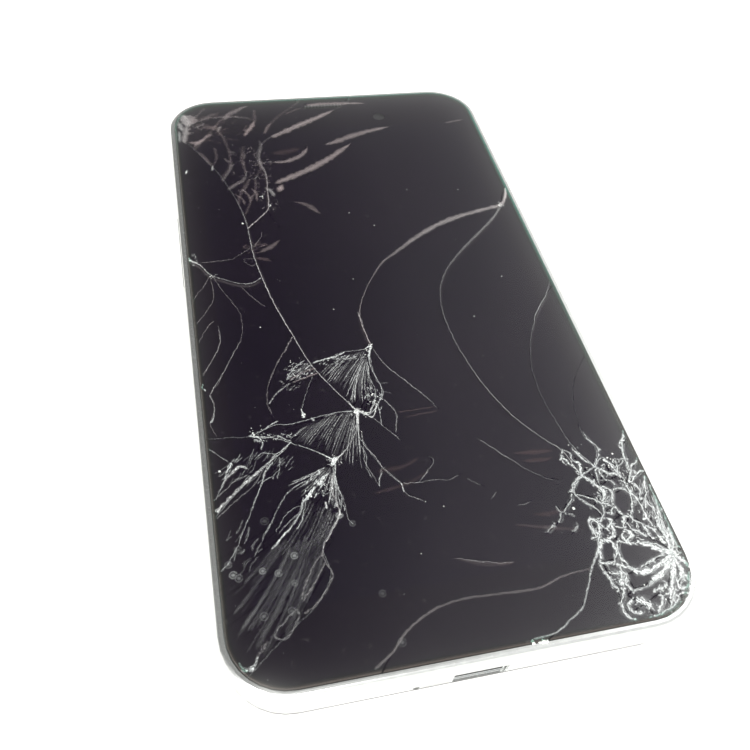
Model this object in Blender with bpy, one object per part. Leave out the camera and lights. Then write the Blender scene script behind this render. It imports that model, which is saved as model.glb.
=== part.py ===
"""A phone with a shattered front glass, lying on its back.

Metres. +Z is up, out of the screen; +Y points to the earpiece end; +X is the right side. The origin is the
middle of the back cover's outer face, so the phone rests on the plane z = 0.
"""
import math

import bmesh
import bpy
from mathutils import Vector

MM = 0.001

# Driving sizes: the whole phone
PHONE_THICKNESS = 9.0 * MM
GLASS_WIDTH = 66.5 * MM
GLASS_LENGTH = 128.6 * MM
GLASS_CORNER = 8.4 * MM
GLASS_THICKNESS = 0.8 * MM
GLASS_CHAMFER = 0.15 * MM
RIM_WIDTH = 1.1 * MM
CORNER_STEPS = 8

# Clearances
SEAT_GAP = 0.3 * MM
GLASS_FIT = 0.15 * MM
SLIDE_FIT = 0.15 * MM
CUT_OVERRUN = 0.5 * MM

# Side frame
RIM_DROP = 0.15 * MM
RIM_CHAMFER = 0.5 * MM
RIM_BULGE = 0.2 * MM
RIM_FOOT = 0.8 * MM
WALL_INSET = 1.0 * MM
LEDGE_WIDTH = 3.6 * MM
LEDGE_THICKNESS = 1.1 * MM
TAPE_THICKNESS = 0.3 * MM

# Back cover
COVER_THICKNESS = 0.9 * MM
COVER_RIM = 1.2 * MM
COVER_FLAT_INSET = 1.4 * MM

# Layers under the glass
PANEL_MARGIN = 11.3 * MM
PANEL_CORNER = 1.0 * MM
PANEL_FLEX_WIDTH = 24.0 * MM
PANEL_THICKNESS = 1.0 * MM
PLATE_THICKNESS = 0.6 * MM
BOARD_THICKNESS = 0.8 * MM
SHEET_THICKNESS = 0.2 * MM

# Cracks: the clear way through a main crack, and the groove of a fine one at the surface
CRACK_GAP = 0.22 * MM
GROOVE_WIDTH = 0.22 * MM
GROOVE_DEPTH = 0.30 * MM
GROOVE_DEPTH_STEP = 0.01 * MM
CRACK_OVERRUN = 0.08 * MM
SMOOTH_STRETCH = 2.8 * MM

# Side keys
KEY_PROUD = 0.3 * MM
KEY_HEIGHT = 2.2 * MM
KEY_TRAVEL = 0.25 * MM
KEY_FLANGE = 0.5 * MM
FLANGE_LIP = 0.5 * MM
KEY_EASE = 0.25 * MM
POWER_LENGTH = 10.0 * MM
POWER_FROM_END = 42.3 * MM
VOLUME_LENGTH = 20.0 * MM
VOLUME_FROM_END = 42.3 * MM
SWITCH_DEPTH = 1.0 * MM
SWITCH_LENGTH = 4.0 * MM
SWITCH_GAP = 0.1 * MM
TAB_THICKNESS = 0.6 * MM
TAB_OVERHANG = 1.5 * MM

# SIM tray
READER_JACK_GAP = 0.8 * MM
TRAY_DEPTH = 18.0 * MM
TRAY_FLOOR = 0.3 * MM
TRAY_RIM = 0.9 * MM
TRAY_FACE_THICKNESS = 1.2 * MM
TRAY_FACE_LIP = 0.6 * MM
TRAY_FACE_BROW = 0.15 * MM
CARD_LENGTH = 15.0 * MM
CARD_WIDTH = 12.0 * MM
CARD_THICKNESS = 0.76 * MM
CARD_CLEAR = 0.25 * MM
READER_WALL = 0.3 * MM
READER_SET_BACK = 1.8 * MM

# Sockets. Places along the phone are measured from its nearer end, and places across it from its nearer side.
JACK_FROM_SIDE = 11.25 * MM
JACK_BORE = 3.5 * MM
JACK_WALL = 0.35 * MM
JACK_LENGTH = 11.2 * MM
JACK_DEPTH = 10.0 * MM
USB_WIDTH = 7.6 * MM
USB_HEIGHT = 2.7 * MM
USB_LENGTH = 7.5 * MM
USB_WALL = 0.35 * MM
USB_RECESS = 0.5 * MM
USB_BACK_WALL = 1.2 * MM
TONGUE_WIDTH = 3.7 * MM
TONGUE_THICKNESS = 0.6 * MM
TONGUE_RECESS = 1.0 * MM
MIC_FROM_USB = 9.0 * MM
MIC_PORT = 1.0 * MM
MIC_WIDTH = 3.4 * MM
MIC_DEPTH = 3.0 * MM
MIC_HEIGHT = 1.8 * MM

# Battery
BATTERY_READER_GAP = 2.0 * MM
BATTERY_BOARD_GAP = 2.65 * MM
BATTERY_SIDE_GAP = 1.2 * MM
BATTERY_CORNER = 2.0 * MM
LEAD_X = -9.3 * MM
LEAD_WIDTH = 4.0 * MM
LEAD_TUCK = 4.0 * MM

# Boards
MAIN_BOARD_DEPTH = 26.3 * MM
LOWER_BOARD_DEPTH = 20.3 * MM
BOARD_FIT = 0.35 * MM
STRIP_WIDTH = 2.2 * MM
STRIP_GAP = 0.5 * MM
STRIP_TUCK = 3.0 * MM
SHIELD_HEIGHT = 1.4 * MM
SHIELD_CLEAR = 1.0 * MM
MAIN_SHIELD_X = 3.0 * MM
MAIN_SHIELD_SIZE = 18.0 * MM
MAIN_SHIELD_EDGE = 2.35 * MM
RADIO_SHIELD_CAMERA = 0.95 * MM
RADIO_SHIELD_EDGE = 1.55 * MM
RADIO_SHIELD_SIDE = 7.75 * MM

# Cameras and lights
CAMERA_FROM_SIDE = 11.25 * MM
CAMERA_FROM_END = 13.3 * MM
CAMERA_SIZE = 8.5 * MM
CAMERA_BARREL = 6.5 * MM
BARREL_LENGTH = 1.0 * MM
WINDOW_DIAMETER = 7.0 * MM
WINDOW_RECESS = 0.15 * MM
RING_DIAMETER = 10.0 * MM
RING_EASE = 0.2 * MM
FLASH_FROM_CAMERA = 9.0 * MM
FLASH_DIAMETER = 3.3 * MM
FLASH_RECESS = 0.1 * MM
LED_SIZE = 2.6 * MM
FRONT_CAMERA_X = 12.0 * MM
FRONT_FROM_END = 7.3 * MM
FRONT_CAMERA_SIZE = 5.0 * MM
FRONT_LENS_DIAMETER = 3.0 * MM
FRONT_LENS_RISE = 0.5 * MM
SENSOR_X = -11.5 * MM
SENSOR_WIDTH = 3.0 * MM
SENSOR_DEPTH = 2.0 * MM

# Earpiece slot in the glass
EARPIECE_FROM_END = 2.4 * MM
EARPIECE_SLOT_LENGTH = 8.8 * MM
EARPIECE_SLOT_WIDTH = 1.1 * MM
MESH_LIFT = 0.1 * MM
MESH_THICKNESS = 0.3 * MM
EARPIECE_WIDTH = 13.0 * MM
EARPIECE_DEPTH = 6.2 * MM

# Loudspeaker and motor
SPEAKER_FROM_SIDE = 15.25 * MM
SPEAKER_FROM_END = 12.3 * MM
SPEAKER_WIDTH = 18.0 * MM
SPEAKER_DEPTH = 10.0 * MM
GRILLE_SLOTS = 6
GRILLE_PITCH = 2.0 * MM
GRILLE_SLOT_WIDTH = 0.8 * MM
GRILLE_SLOT_LENGTH = 6.0 * MM
SPEAKER_MESH_WIDTH = 13.5 * MM
SPEAKER_MESH_DEPTH = 7.5 * MM
MOTOR_FROM_SIDE = 11.25 * MM
MOTOR_FROM_END = 12.3 * MM
MOTOR_DIAMETER = 8.0 * MM

# Screws
SCREW_SHANK = 1.0 * MM
SCREW_HEAD = 2.2 * MM
SCREW_HEAD_HEIGHT = 0.6 * MM
SCREW_BITE = 0.6 * MM
SCREW_EDGE = 1.65 * MM
RECESS_SPAN = 1.1 * MM
RECESS_BAR = 0.35 * MM
RECESS_DEPTH = 0.3 * MM
SCREW_HEAD_EASE = 0.15 * MM
SCREW_POINT = 0.2 * MM
SCREW_FROM_END = 7.3 * MM
MAIN_INNER_EDGE = 2.85 * MM
LOWER_INNER_EDGE = 2.35 * MM
PLATE_SCREW_Y = -5.0 * MM

# Heights, worked out from the glass downwards and from the cover upwards
GLASS_TOP = PHONE_THICKNESS
GLASS_BOTTOM = GLASS_TOP - GLASS_THICKNESS
TAPE_TOP = GLASS_BOTTOM - SEAT_GAP
TAPE_BOTTOM = TAPE_TOP - TAPE_THICKNESS
LEDGE_TOP = TAPE_BOTTOM - SEAT_GAP
LEDGE_BOTTOM = LEDGE_TOP - LEDGE_THICKNESS
PLATE_TOP = LEDGE_BOTTOM - SEAT_GAP
PLATE_BOTTOM = PLATE_TOP - PLATE_THICKNESS
PANEL_TOP = GLASS_BOTTOM - SEAT_GAP
PANEL_BOTTOM = PANEL_TOP - PANEL_THICKNESS
FRONT_FLOOR = PLATE_TOP + SEAT_GAP
BOARD_TOP = PLATE_BOTTOM - SEAT_GAP
BOARD_BOTTOM = BOARD_TOP - BOARD_THICKNESS
PARTS_TOP = BOARD_BOTTOM - SEAT_GAP
COVER_CLEAR = COVER_THICKNESS + SEAT_GAP
FRAME_BOTTOM = COVER_RIM + SEAT_GAP
KEY_Z = (FRAME_BOTTOM + PLATE_BOTTOM) / 2
JACK_Z = (FRAME_BOTTOM + LEDGE_BOTTOM) / 2

# Plan positions, worked out from the glass outline
HALF_WIDTH = GLASS_WIDTH / 2
HALF_LENGTH = GLASS_LENGTH / 2
WALL_X = GLASS_WIDTH / 2 - WALL_INSET
WALL_Y = GLASS_LENGTH / 2 - WALL_INSET
SIDE_X = GLASS_WIDTH / 2 + RIM_WIDTH
END_Y = GLASS_LENGTH / 2 + RIM_WIDTH
LEDGE_Y = GLASS_LENGTH / 2 - LEDGE_WIDTH
SCREW_X = WALL_X - SCREW_EDGE
NOTCH_HALF = EARPIECE_WIDTH / 2 + SEAT_GAP
MAIN_BOARD_EDGE = WALL_Y - BOARD_FIT - MAIN_BOARD_DEPTH
LOWER_BOARD_EDGE = -(WALL_Y - BOARD_FIT - LOWER_BOARD_DEPTH)
SWITCH_BACK = WALL_X - SEAT_GAP - KEY_FLANGE - KEY_TRAVEL - SWITCH_GAP - SWITCH_DEPTH
TAB_INNER = SWITCH_BACK - SEAT_GAP - TAB_THICKNESS
BATTERY_RIGHT = TAB_INNER - BATTERY_SIDE_GAP
BATTERY_LEFT = -(TAB_INNER - STRIP_WIDTH - 2 * STRIP_GAP)
TRAY_WIDTH = CARD_WIDTH + 2 * (TRAY_RIM + SLIDE_FIT)
READER_WIDTH = TRAY_WIDTH + 2 * (SLIDE_FIT + READER_WALL)
TRAY_Y = WALL_Y - SEAT_GAP - JACK_LENGTH - READER_JACK_GAP - READER_WIDTH / 2
BATTERY_TOP = TRAY_Y - READER_WIDTH / 2 - BATTERY_READER_GAP
BATTERY_FOOT = LOWER_BOARD_EDGE + BATTERY_BOARD_GAP
POWER_Y = HALF_LENGTH - POWER_FROM_END
VOLUME_Y = HALF_LENGTH - VOLUME_FROM_END
JACK_X = HALF_WIDTH - JACK_FROM_SIDE
CAMERA_X = -(HALF_WIDTH - CAMERA_FROM_SIDE)
CAMERA_Y = HALF_LENGTH - CAMERA_FROM_END
FLASH_X = CAMERA_X + FLASH_FROM_CAMERA
FRONT_CAMERA_Y = HALF_LENGTH - FRONT_FROM_END
EARPIECE_Y = HALF_LENGTH - EARPIECE_FROM_END
SPEAKER_X = HALF_WIDTH - SPEAKER_FROM_SIDE
SPEAKER_Y = -(HALF_LENGTH - SPEAKER_FROM_END)
MOTOR_X = -(HALF_WIDTH - MOTOR_FROM_SIDE)
MOTOR_Y = -(HALF_LENGTH - MOTOR_FROM_END)

# The piece outlines repeat these finishes
BLACK_GLASS = ((0.012, 0.011, 0.014), 0.08, 0.0)
LIGHT_METAL = ((0.62, 0.63, 0.62), 0.32, 0.9)
DARK_PLASTIC = ((0.03, 0.03, 0.035), 0.45, 0.0)
STEEL = ((0.55, 0.56, 0.58), 0.3, 1.0)
GREEN_BOARD = ((0.03, 0.12, 0.07), 0.5, 0.0)
GOLD_FILM = ((0.45, 0.27, 0.08), 0.4, 0.3)


def clear_scene():
    """Remove whatever the file holds."""
    for item in list(bpy.data.objects):
        bpy.data.objects.remove(item, do_unlink=True)


# Shapes

def rounded(width, length, radius, steps=CORNER_STEPS):
    """Corner points of a rectangle with round corners, anticlockwise round the origin."""
    points = []
    for side_x, side_y, start in ((1, 1, 0), (-1, 1, 90), (-1, -1, 180), (1, -1, 270)):
        centre_x = side_x * (width / 2 - radius)
        centre_y = side_y * (length / 2 - radius)
        for i in range(steps + 1):
            turn = math.radians(start + 90 * i / steps)
            points.append((centre_x + radius * math.cos(turn), centre_y + radius * math.sin(turn)))
    return points


def glass_outline(offset):
    """The glass's outline moved outwards by offset, or inwards where offset is negative."""
    width = GLASS_WIDTH + 2 * offset
    length = GLASS_LENGTH + 2 * offset
    return rounded(width, length, GLASS_CORNER + offset)


def end_outline(offset, depth, end):
    """The end of the glass's outline, moved by offset and cut straight across at depth from its tip."""
    tip = GLASS_LENGTH / 2 + offset
    kept = [(x, y) for x, y in glass_outline(offset) if y * end > tip - depth]
    half = GLASS_WIDTH / 2 + offset
    cut = end * (tip - depth)
    left, right = (-half, cut), (half, cut)
    if end > 0:
        return [right] + kept + [left]
    return [left] + kept + [right]


def circle(diameter, steps, x=0.0, y=0.0):
    """Points of a circle, anticlockwise."""
    turns = [2 * math.pi * i / steps for i in range(steps)]
    return [(x + diameter / 2 * math.cos(t), y + diameter / 2 * math.sin(t)) for t in turns]


def loft(rings, closed=False):
    """A solid through rings of (outline, z), capped at its ends, or joined end to end where closed is set."""
    mesh = bmesh.new()
    loops = [[mesh.verts.new((x, y, z)) for x, y in outline] for outline, z in rings]
    pairs = list(zip(loops, loops[1:]))
    if closed:
        pairs.append((loops[-1], loops[0]))
    for low, high in pairs:
        for i in range(len(low)):
            j = (i + 1) % len(low)
            mesh.faces.new((low[i], low[j], high[j], high[i]))
    if not closed:
        mesh.faces.new(loops[0][::-1])
        mesh.faces.new(loops[-1])
    bmesh.ops.recalc_face_normals(mesh, faces=mesh.faces)
    return mesh


def prism(outline, bottom, top):
    """An upright solid of one outline."""
    return loft([(outline, bottom), (outline, top)])


def block(width, depth, bottom, top, x=0.0, y=0.0):
    """A box standing between two heights, with its middle at x, y."""
    left, right = x - width / 2, x + width / 2
    near, far = y - depth / 2, y + depth / 2
    return prism(((right, far), (left, far), (left, near), (right, near)), bottom, top)


def rod(diameter, start, end, steps=16):
    """A straight round bar from start to end."""
    mesh = bmesh.new()
    start, end = Vector(start), Vector(end)
    turn = (end - start).to_track_quat("Z", "Y").to_matrix().to_4x4()
    turn.translation = (start + end) / 2
    length = (end - start).length
    bmesh.ops.create_cone(mesh, cap_ends=True, segments=steps, radius1=diameter / 2, radius2=diameter / 2,
                          depth=length, matrix=turn)
    return mesh


# Objects

def make_object(name, mesh, place=(0, 0, 0)):
    """Put a bmesh in the scene as an object whose origin is at place."""
    bmesh.ops.translate(mesh, verts=mesh.verts, vec=-Vector(place))
    data = bpy.data.meshes.new(name)
    mesh.to_mesh(data)
    mesh.free()
    item = bpy.data.objects.new(name, data)
    item.location = place
    bpy.context.scene.collection.objects.link(item)
    return item


def paint(item, finish):
    """Give an object a material of its own."""
    colour, roughness, metallic = finish
    material = bpy.data.materials.new(item.name)
    material.use_nodes = True
    shader = material.node_tree.nodes["Principled BSDF"]
    shader.inputs["Base Color"].default_value = (*colour, 1)
    shader.inputs["Roughness"].default_value = roughness
    shader.inputs["Metallic"].default_value = metallic
    item.data.materials.clear()
    item.data.materials.append(material)


def piece(name, mesh, finish, place=(0, 0, 0), smooth=False):
    """A finished sub-part, carried by the phone's own empty."""
    item = make_object(name, mesh, place)
    paint(item, finish)
    if smooth:
        item.data.shade_smooth()
        item.data.set_sharp_from_angle(angle=math.radians(35))
    item.parent = PHONE
    return item


def tool(name, mesh):
    """A cutter or an addition that isn't a sub-part of its own."""
    item = make_object(name, mesh)
    item.hide_render = True
    item.display_type = "WIRE"
    return item


def combine(item, other, operation):
    """Cut other from item, or join it on."""
    step = item.modifiers.new(other.name, "BOOLEAN")
    step.operation = operation
    step.solver = "EXACT"
    step.object = other


def cut(item, name, mesh):
    combine(item, tool(name, mesh), "DIFFERENCE")


def join(item, name, mesh):
    combine(item, tool(name, mesh), "UNION")


# Screw places: each is a side of the phone, a distance along it and the board that its head holds down

def screw_places():
    """Where the screws stand, and the underside that each head bears on."""
    end = HALF_LENGTH - SCREW_FROM_END
    return {
        "screw_main_left": (-SCREW_X, end, BOARD_BOTTOM),
        "screw_main_right": (SCREW_X, end, BOARD_BOTTOM),
        "screw_main_inner": (-SCREW_X, MAIN_BOARD_EDGE + MAIN_INNER_EDGE, BOARD_BOTTOM),
        "screw_lower_left": (-SCREW_X, -end, BOARD_BOTTOM),
        "screw_lower_right": (SCREW_X, -end, BOARD_BOTTOM),
        "screw_lower_inner": (SCREW_X, LOWER_BOARD_EDGE - LOWER_INNER_EDGE, BOARD_BOTTOM),
        "screw_plate_left": (-SCREW_X, PLATE_SCREW_Y, PLATE_BOTTOM),
        "screw_plate_right": (SCREW_X, PLATE_SCREW_Y, PLATE_BOTTOM),
    }


def cut_screw_holes(item, top, only_under=None):
    """Holes for the screws, up to top. With only_under, just for those whose heads bear on that height."""
    for name, (x, y, seat) in screw_places().items():
        if only_under is None or seat == only_under:
            hole = prism(circle(SCREW_SHANK + 2 * SLIDE_FIT, 12, x, y), FRAME_BOTTOM, top)
            cut(item, item.name + " hole for " + name, hole)


# Side frame: one turned-in band with the ledge that carries the glass

def make_side_frame():
    outer = RIM_WIDTH
    profile = (
        (outer - RIM_BULGE, FRAME_BOTTOM),
        (outer, FRAME_BOTTOM + RIM_FOOT),
        (outer, GLASS_TOP - RIM_DROP - 1.4 * RIM_CHAMFER),
        (outer - 0.35 * RIM_CHAMFER, GLASS_TOP - RIM_DROP - 0.35 * RIM_CHAMFER),
        (outer - RIM_CHAMFER, GLASS_TOP - RIM_DROP),
        (GLASS_FIT, GLASS_TOP - RIM_DROP),
        (GLASS_FIT, LEDGE_TOP),
        (-LEDGE_WIDTH, LEDGE_TOP),
        (-LEDGE_WIDTH, LEDGE_BOTTOM),
        (-WALL_INSET, LEDGE_BOTTOM),
        (-WALL_INSET, FRAME_BOTTOM),
    )
    rings = [(glass_outline(offset), z) for offset, z in profile]
    frame = piece("side_frame", loft(rings, closed=True), LIGHT_METAL, smooth=True)

    wall = RIM_WIDTH + WALL_INSET
    reach = wall + 2 * CUT_OVERRUN
    slot_middle = HALF_WIDTH + (RIM_WIDTH - WALL_INSET) / 2
    slot_height = KEY_HEIGHT / 2 + SLIDE_FIT
    keys = (("power", 1, POWER_Y, POWER_LENGTH), ("volume", -1, VOLUME_Y, VOLUME_LENGTH))
    for name, side, y, length in keys:
        slot = block(reach, length + 2 * SLIDE_FIT, KEY_Z - slot_height, KEY_Z + slot_height,
                     side * slot_middle, y)
        cut(frame, name + " key slot", slot)

    low, high = tray_heights()
    face = CARD_WIDTH + 2 * (TRAY_RIM + TRAY_FACE_LIP + SLIDE_FIT)
    brow = TRAY_FACE_BROW + SLIDE_FIT
    tray_slot = block(reach, face, low - brow, high + brow, slot_middle, TRAY_Y)
    cut(frame, "tray slot", tray_slot)

    end_middle = HALF_LENGTH + (RIM_WIDTH - WALL_INSET) / 2
    jack_hole = rod(JACK_BORE + 2 * SLIDE_FIT, (JACK_X, end_middle - reach / 2, JACK_Z),
                    (JACK_X, end_middle + reach / 2, JACK_Z), 24)
    cut(frame, "jack hole", jack_hole)
    usb_half = USB_HEIGHT / 2 + SLIDE_FIT
    usb_z = usb_centre()
    usb_hole = block(USB_WIDTH + 2 * SLIDE_FIT, reach, usb_z - usb_half, usb_z + usb_half, 0, -end_middle)
    cut(frame, "usb hole", usb_hole)
    mic_z = (COVER_CLEAR + BOARD_BOTTOM) / 2
    mic_hole = rod(MIC_PORT, (-MIC_FROM_USB, -end_middle + reach / 2, mic_z),
                   (-MIC_FROM_USB, -end_middle - reach / 2, mic_z), 10)
    cut(frame, "microphone port", mic_hole)

    cut(frame, "ledge notch", earpiece_notch(LEDGE_BOTTOM - CUT_OVERRUN, LEDGE_TOP + CUT_OVERRUN))
    cut_screw_holes(frame, LEDGE_BOTTOM + SCREW_BITE + SEAT_GAP)


def earpiece_notch(bottom, top):
    """The space behind the earpiece slot, cut from the ledge and the tape."""
    back = WALL_Y - SEAT_GAP
    front = LEDGE_Y - CUT_OVERRUN
    return block(2 * NOTCH_HALF, back - front, bottom, top, 0, (back + front) / 2)


# Back cover: a plate with a curved edge

def make_back_cover():
    flat = RIM_WIDTH - RIM_BULGE
    rings = []
    for share in (0.0, 0.25, 0.5, 0.75, 1.0):
        turn = math.radians(90 * share)
        offset = -COVER_FLAT_INSET + (flat + COVER_FLAT_INSET) * math.sin(turn)
        rings.append((glass_outline(offset), COVER_RIM * (1 - math.cos(turn))))
    rings.append((glass_outline(-WALL_INSET + SEAT_GAP), COVER_RIM))
    rings.append((glass_outline(-WALL_INSET), COVER_THICKNESS))
    cover = piece("back_cover", loft(rings), DARK_PLASTIC, smooth=True)
    through = (-CUT_OVERRUN, COVER_THICKNESS + CUT_OVERRUN)
    cut(cover, "camera hole", prism(circle(RING_DIAMETER + 2 * SLIDE_FIT, 32, CAMERA_X, CAMERA_Y), *through))
    cut(cover, "flash hole", prism(circle(FLASH_DIAMETER + 2 * SLIDE_FIT, 20, FLASH_X, CAMERA_Y), *through))
    for i in range(GRILLE_SLOTS):
        x = SPEAKER_X + (i - (GRILLE_SLOTS - 1) / 2) * GRILLE_PITCH
        slot = rounded(GRILLE_SLOT_WIDTH, GRILLE_SLOT_LENGTH, GRILLE_SLOT_WIDTH / 2 - 0.01 * MM, 3)
        moved = [(px + x, py + SPEAKER_Y) for px, py in slot]
        cut(cover, "grille slot %d" % (i + 1), prism(moved, *through))


# Layers between the glass and the boards

def make_tape():
    rings = []
    inner, outer = -LEDGE_WIDTH + SEAT_GAP, -SEAT_GAP
    for offset, z in ((outer, TAPE_BOTTOM), (outer, TAPE_TOP), (inner, TAPE_TOP), (inner, TAPE_BOTTOM)):
        rings.append((glass_outline(offset), z))
    tape = piece("glass_tape", loft(rings, closed=True), DARK_PLASTIC)
    cut(tape, "tape notch", earpiece_notch(TAPE_BOTTOM - CUT_OVERRUN, TAPE_TOP + CUT_OVERRUN))


def make_display():
    width = GLASS_WIDTH - 2 * (LEDGE_WIDTH + SEAT_GAP)
    outline = rounded(width, GLASS_LENGTH - 2 * PANEL_MARGIN, PANEL_CORNER, 2)
    piece("display_panel", prism(outline, PANEL_BOTTOM, PANEL_TOP), BLACK_GLASS)
    piece("backlight", prism(outline, FRONT_FLOOR, PANEL_BOTTOM - SEAT_GAP), ((0.7, 0.7, 0.72), 0.5, 0.0))
    panel_end = HALF_LENGTH - PANEL_MARGIN
    flex_depth = LEDGE_Y - panel_end - 2 * SEAT_GAP
    flex_y = -(LEDGE_Y + panel_end) / 2
    flex = block(PANEL_FLEX_WIDTH, flex_depth, FRONT_FLOOR, FRONT_FLOOR + SHEET_THICKNESS, 0, flex_y)
    piece("display_flex", flex, GOLD_FILM)


def make_mid_plate():
    outline = glass_outline(-WALL_INSET - SEAT_GAP)
    plate = piece("mid_plate", prism(outline, PLATE_BOTTOM, PLATE_TOP), STEEL)
    for name, side, ys in (("power tab", 1, (POWER_Y,)), ("volume tab", -1, volume_switch_places())):
        length = max(ys) - min(ys) + SWITCH_LENGTH + 2 * TAB_OVERHANG
        x = side * (TAB_INNER + TAB_THICKNESS / 2)
        low = KEY_Z - KEY_HEIGHT / 2
        tab = block(TAB_THICKNESS, length, low, PLATE_BOTTOM + PLATE_THICKNESS / 2, x, sum(ys) / len(ys))
        join(plate, name, tab)
    cut(plate, "plate room for the jack", jack_room(PLATE_BOTTOM - CUT_OVERRUN, PLATE_TOP + CUT_OVERRUN))
    cut_screw_holes(plate, PLATE_TOP + CUT_OVERRUN)


# Battery and boards

def make_battery():
    outline = rounded(BATTERY_RIGHT - BATTERY_LEFT, BATTERY_TOP - BATTERY_FOOT, BATTERY_CORNER, 3)
    x_middle, y_middle = (BATTERY_RIGHT + BATTERY_LEFT) / 2, (BATTERY_TOP + BATTERY_FOOT) / 2
    moved = [(x + x_middle, y + y_middle) for x, y in outline]
    piece("battery", prism(moved, COVER_CLEAR, BOARD_TOP), ((0.05, 0.05, 0.055), 0.4, 0.0))
    start = BATTERY_TOP + SEAT_GAP
    end = MAIN_BOARD_EDGE + LEAD_TUCK
    lead = block(LEAD_WIDTH, end - start, PARTS_TOP - SHEET_THICKNESS, PARTS_TOP, LEAD_X, (start + end) / 2)
    piece("battery_lead", lead, GOLD_FILM)


def jack_room(bottom, top):
    """The space that the headphone jack's body takes from a plate or board."""
    width = JACK_BORE + 2 * JACK_WALL + 2 * SEAT_GAP
    depth = JACK_LENGTH + SEAT_GAP + CUT_OVERRUN
    return block(width, depth + WALL_INSET, bottom, top, JACK_X, HALF_LENGTH - (depth + WALL_INSET) / 2)


def make_main_board():
    offset = -WALL_INSET - BOARD_FIT
    outline = end_outline(offset, MAIN_BOARD_DEPTH, 1)
    board = piece("main_board", prism(outline, BOARD_BOTTOM, BOARD_TOP), GREEN_BOARD)
    through = (BOARD_BOTTOM - CUT_OVERRUN, BOARD_TOP + CUT_OVERRUN)
    opening = CAMERA_SIZE + 2 * SEAT_GAP
    cut(board, "board room for the camera", block(opening, opening, *through, CAMERA_X, CAMERA_Y))
    cut(board, "board room for the jack", jack_room(*through))
    cut_screw_holes(board, BOARD_TOP + CUT_OVERRUN, BOARD_BOTTOM)
    shield_low = PARTS_TOP - SHIELD_HEIGHT
    main_x, main_y = MAIN_SHIELD_X - MAIN_SHIELD_SIZE / 2, MAIN_BOARD_EDGE + MAIN_SHIELD_EDGE
    radio_x, radio_y = -(HALF_WIDTH - RADIO_SHIELD_SIDE), MAIN_BOARD_EDGE + RADIO_SHIELD_EDGE
    radio_end = LEAD_X - LEAD_WIDTH / 2 - SHIELD_CLEAR
    radio_far = CAMERA_Y - CAMERA_SIZE / 2 - RADIO_SHIELD_CAMERA
    for name, x0, x1, y0, y1 in (
        ("main_shield", main_x, main_x + MAIN_SHIELD_SIZE, main_y, main_y + MAIN_SHIELD_SIZE),
        ("radio_shield", radio_x, radio_end, radio_y, radio_far),
    ):
        shell = block(x1 - x0, y1 - y0, shield_low, PARTS_TOP, (x0 + x1) / 2, (y0 + y1) / 2)
        can = piece(name, shell, STEEL)
        wall = SHEET_THICKNESS
        room = block(x1 - x0 - 2 * wall, y1 - y0 - 2 * wall, shield_low + wall, PARTS_TOP + CUT_OVERRUN,
                     (x0 + x1) / 2, (y0 + y1) / 2)
        cut(can, name + " room", room)


def make_lower_board():
    offset = -WALL_INSET - BOARD_FIT
    outline = end_outline(offset, LOWER_BOARD_DEPTH, -1)
    board = piece("lower_board", prism(outline, BOARD_BOTTOM, BOARD_TOP), GREEN_BOARD)
    depth = USB_LENGTH + SEAT_GAP
    middle = -(END_Y - USB_RECESS) + depth / 2
    notch = block(USB_WIDTH + 2 * SEAT_GAP, depth, BOARD_BOTTOM - CUT_OVERRUN, BOARD_TOP + CUT_OVERRUN,
                  0, middle)
    cut(board, "board room for the usb socket", notch)
    cut_screw_holes(board, BOARD_TOP + CUT_OVERRUN, BOARD_BOTTOM)
    top = PARTS_TOP
    start = LOWER_BOARD_EDGE - STRIP_TUCK
    end = MAIN_BOARD_EDGE + STRIP_TUCK
    strip_x = BATTERY_LEFT - STRIP_GAP - STRIP_WIDTH / 2
    strip = block(STRIP_WIDTH, end - start, top - SHEET_THICKNESS, top, strip_x, (start + end) / 2)
    piece("main_flex", strip, GOLD_FILM)


# Sockets, microphone, speaker and motor

def usb_centre():
    return BOARD_TOP - SEAT_GAP / 2 - USB_HEIGHT / 2


def make_sockets():
    tip = END_Y - USB_RECESS
    z = usb_centre()
    low, high = z - USB_HEIGHT / 2, z + USB_HEIGHT / 2
    shell = block(USB_WIDTH, USB_LENGTH, low, high, 0, -tip + USB_LENGTH / 2)
    socket = piece("usb_socket", shell, STEEL)
    inner_depth = USB_LENGTH - USB_BACK_WALL
    room = block(USB_WIDTH - 2 * USB_WALL, inner_depth + CUT_OVERRUN, low + USB_WALL, high - USB_WALL,
                 0, -tip - CUT_OVERRUN + (inner_depth + CUT_OVERRUN) / 2)
    cut(socket, "usb room", room)
    tongue = block(TONGUE_WIDTH, inner_depth, z - TONGUE_THICKNESS / 2, z + TONGUE_THICKNESS / 2,
                   0, -tip + TONGUE_RECESS + inner_depth / 2)
    join(socket, "usb tongue", tongue)

    end = WALL_Y - SEAT_GAP
    half = JACK_BORE / 2 + JACK_WALL
    body = block(2 * half, JACK_LENGTH, JACK_Z - half, JACK_Z + half, JACK_X, end - JACK_LENGTH / 2)
    jack = piece("headphone_jack", body, DARK_PLASTIC)
    bore = rod(JACK_BORE, (JACK_X, end - JACK_DEPTH, JACK_Z), (JACK_X, end + CUT_OVERRUN, JACK_Z), 24)
    cut(jack, "jack bore", bore)


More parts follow.
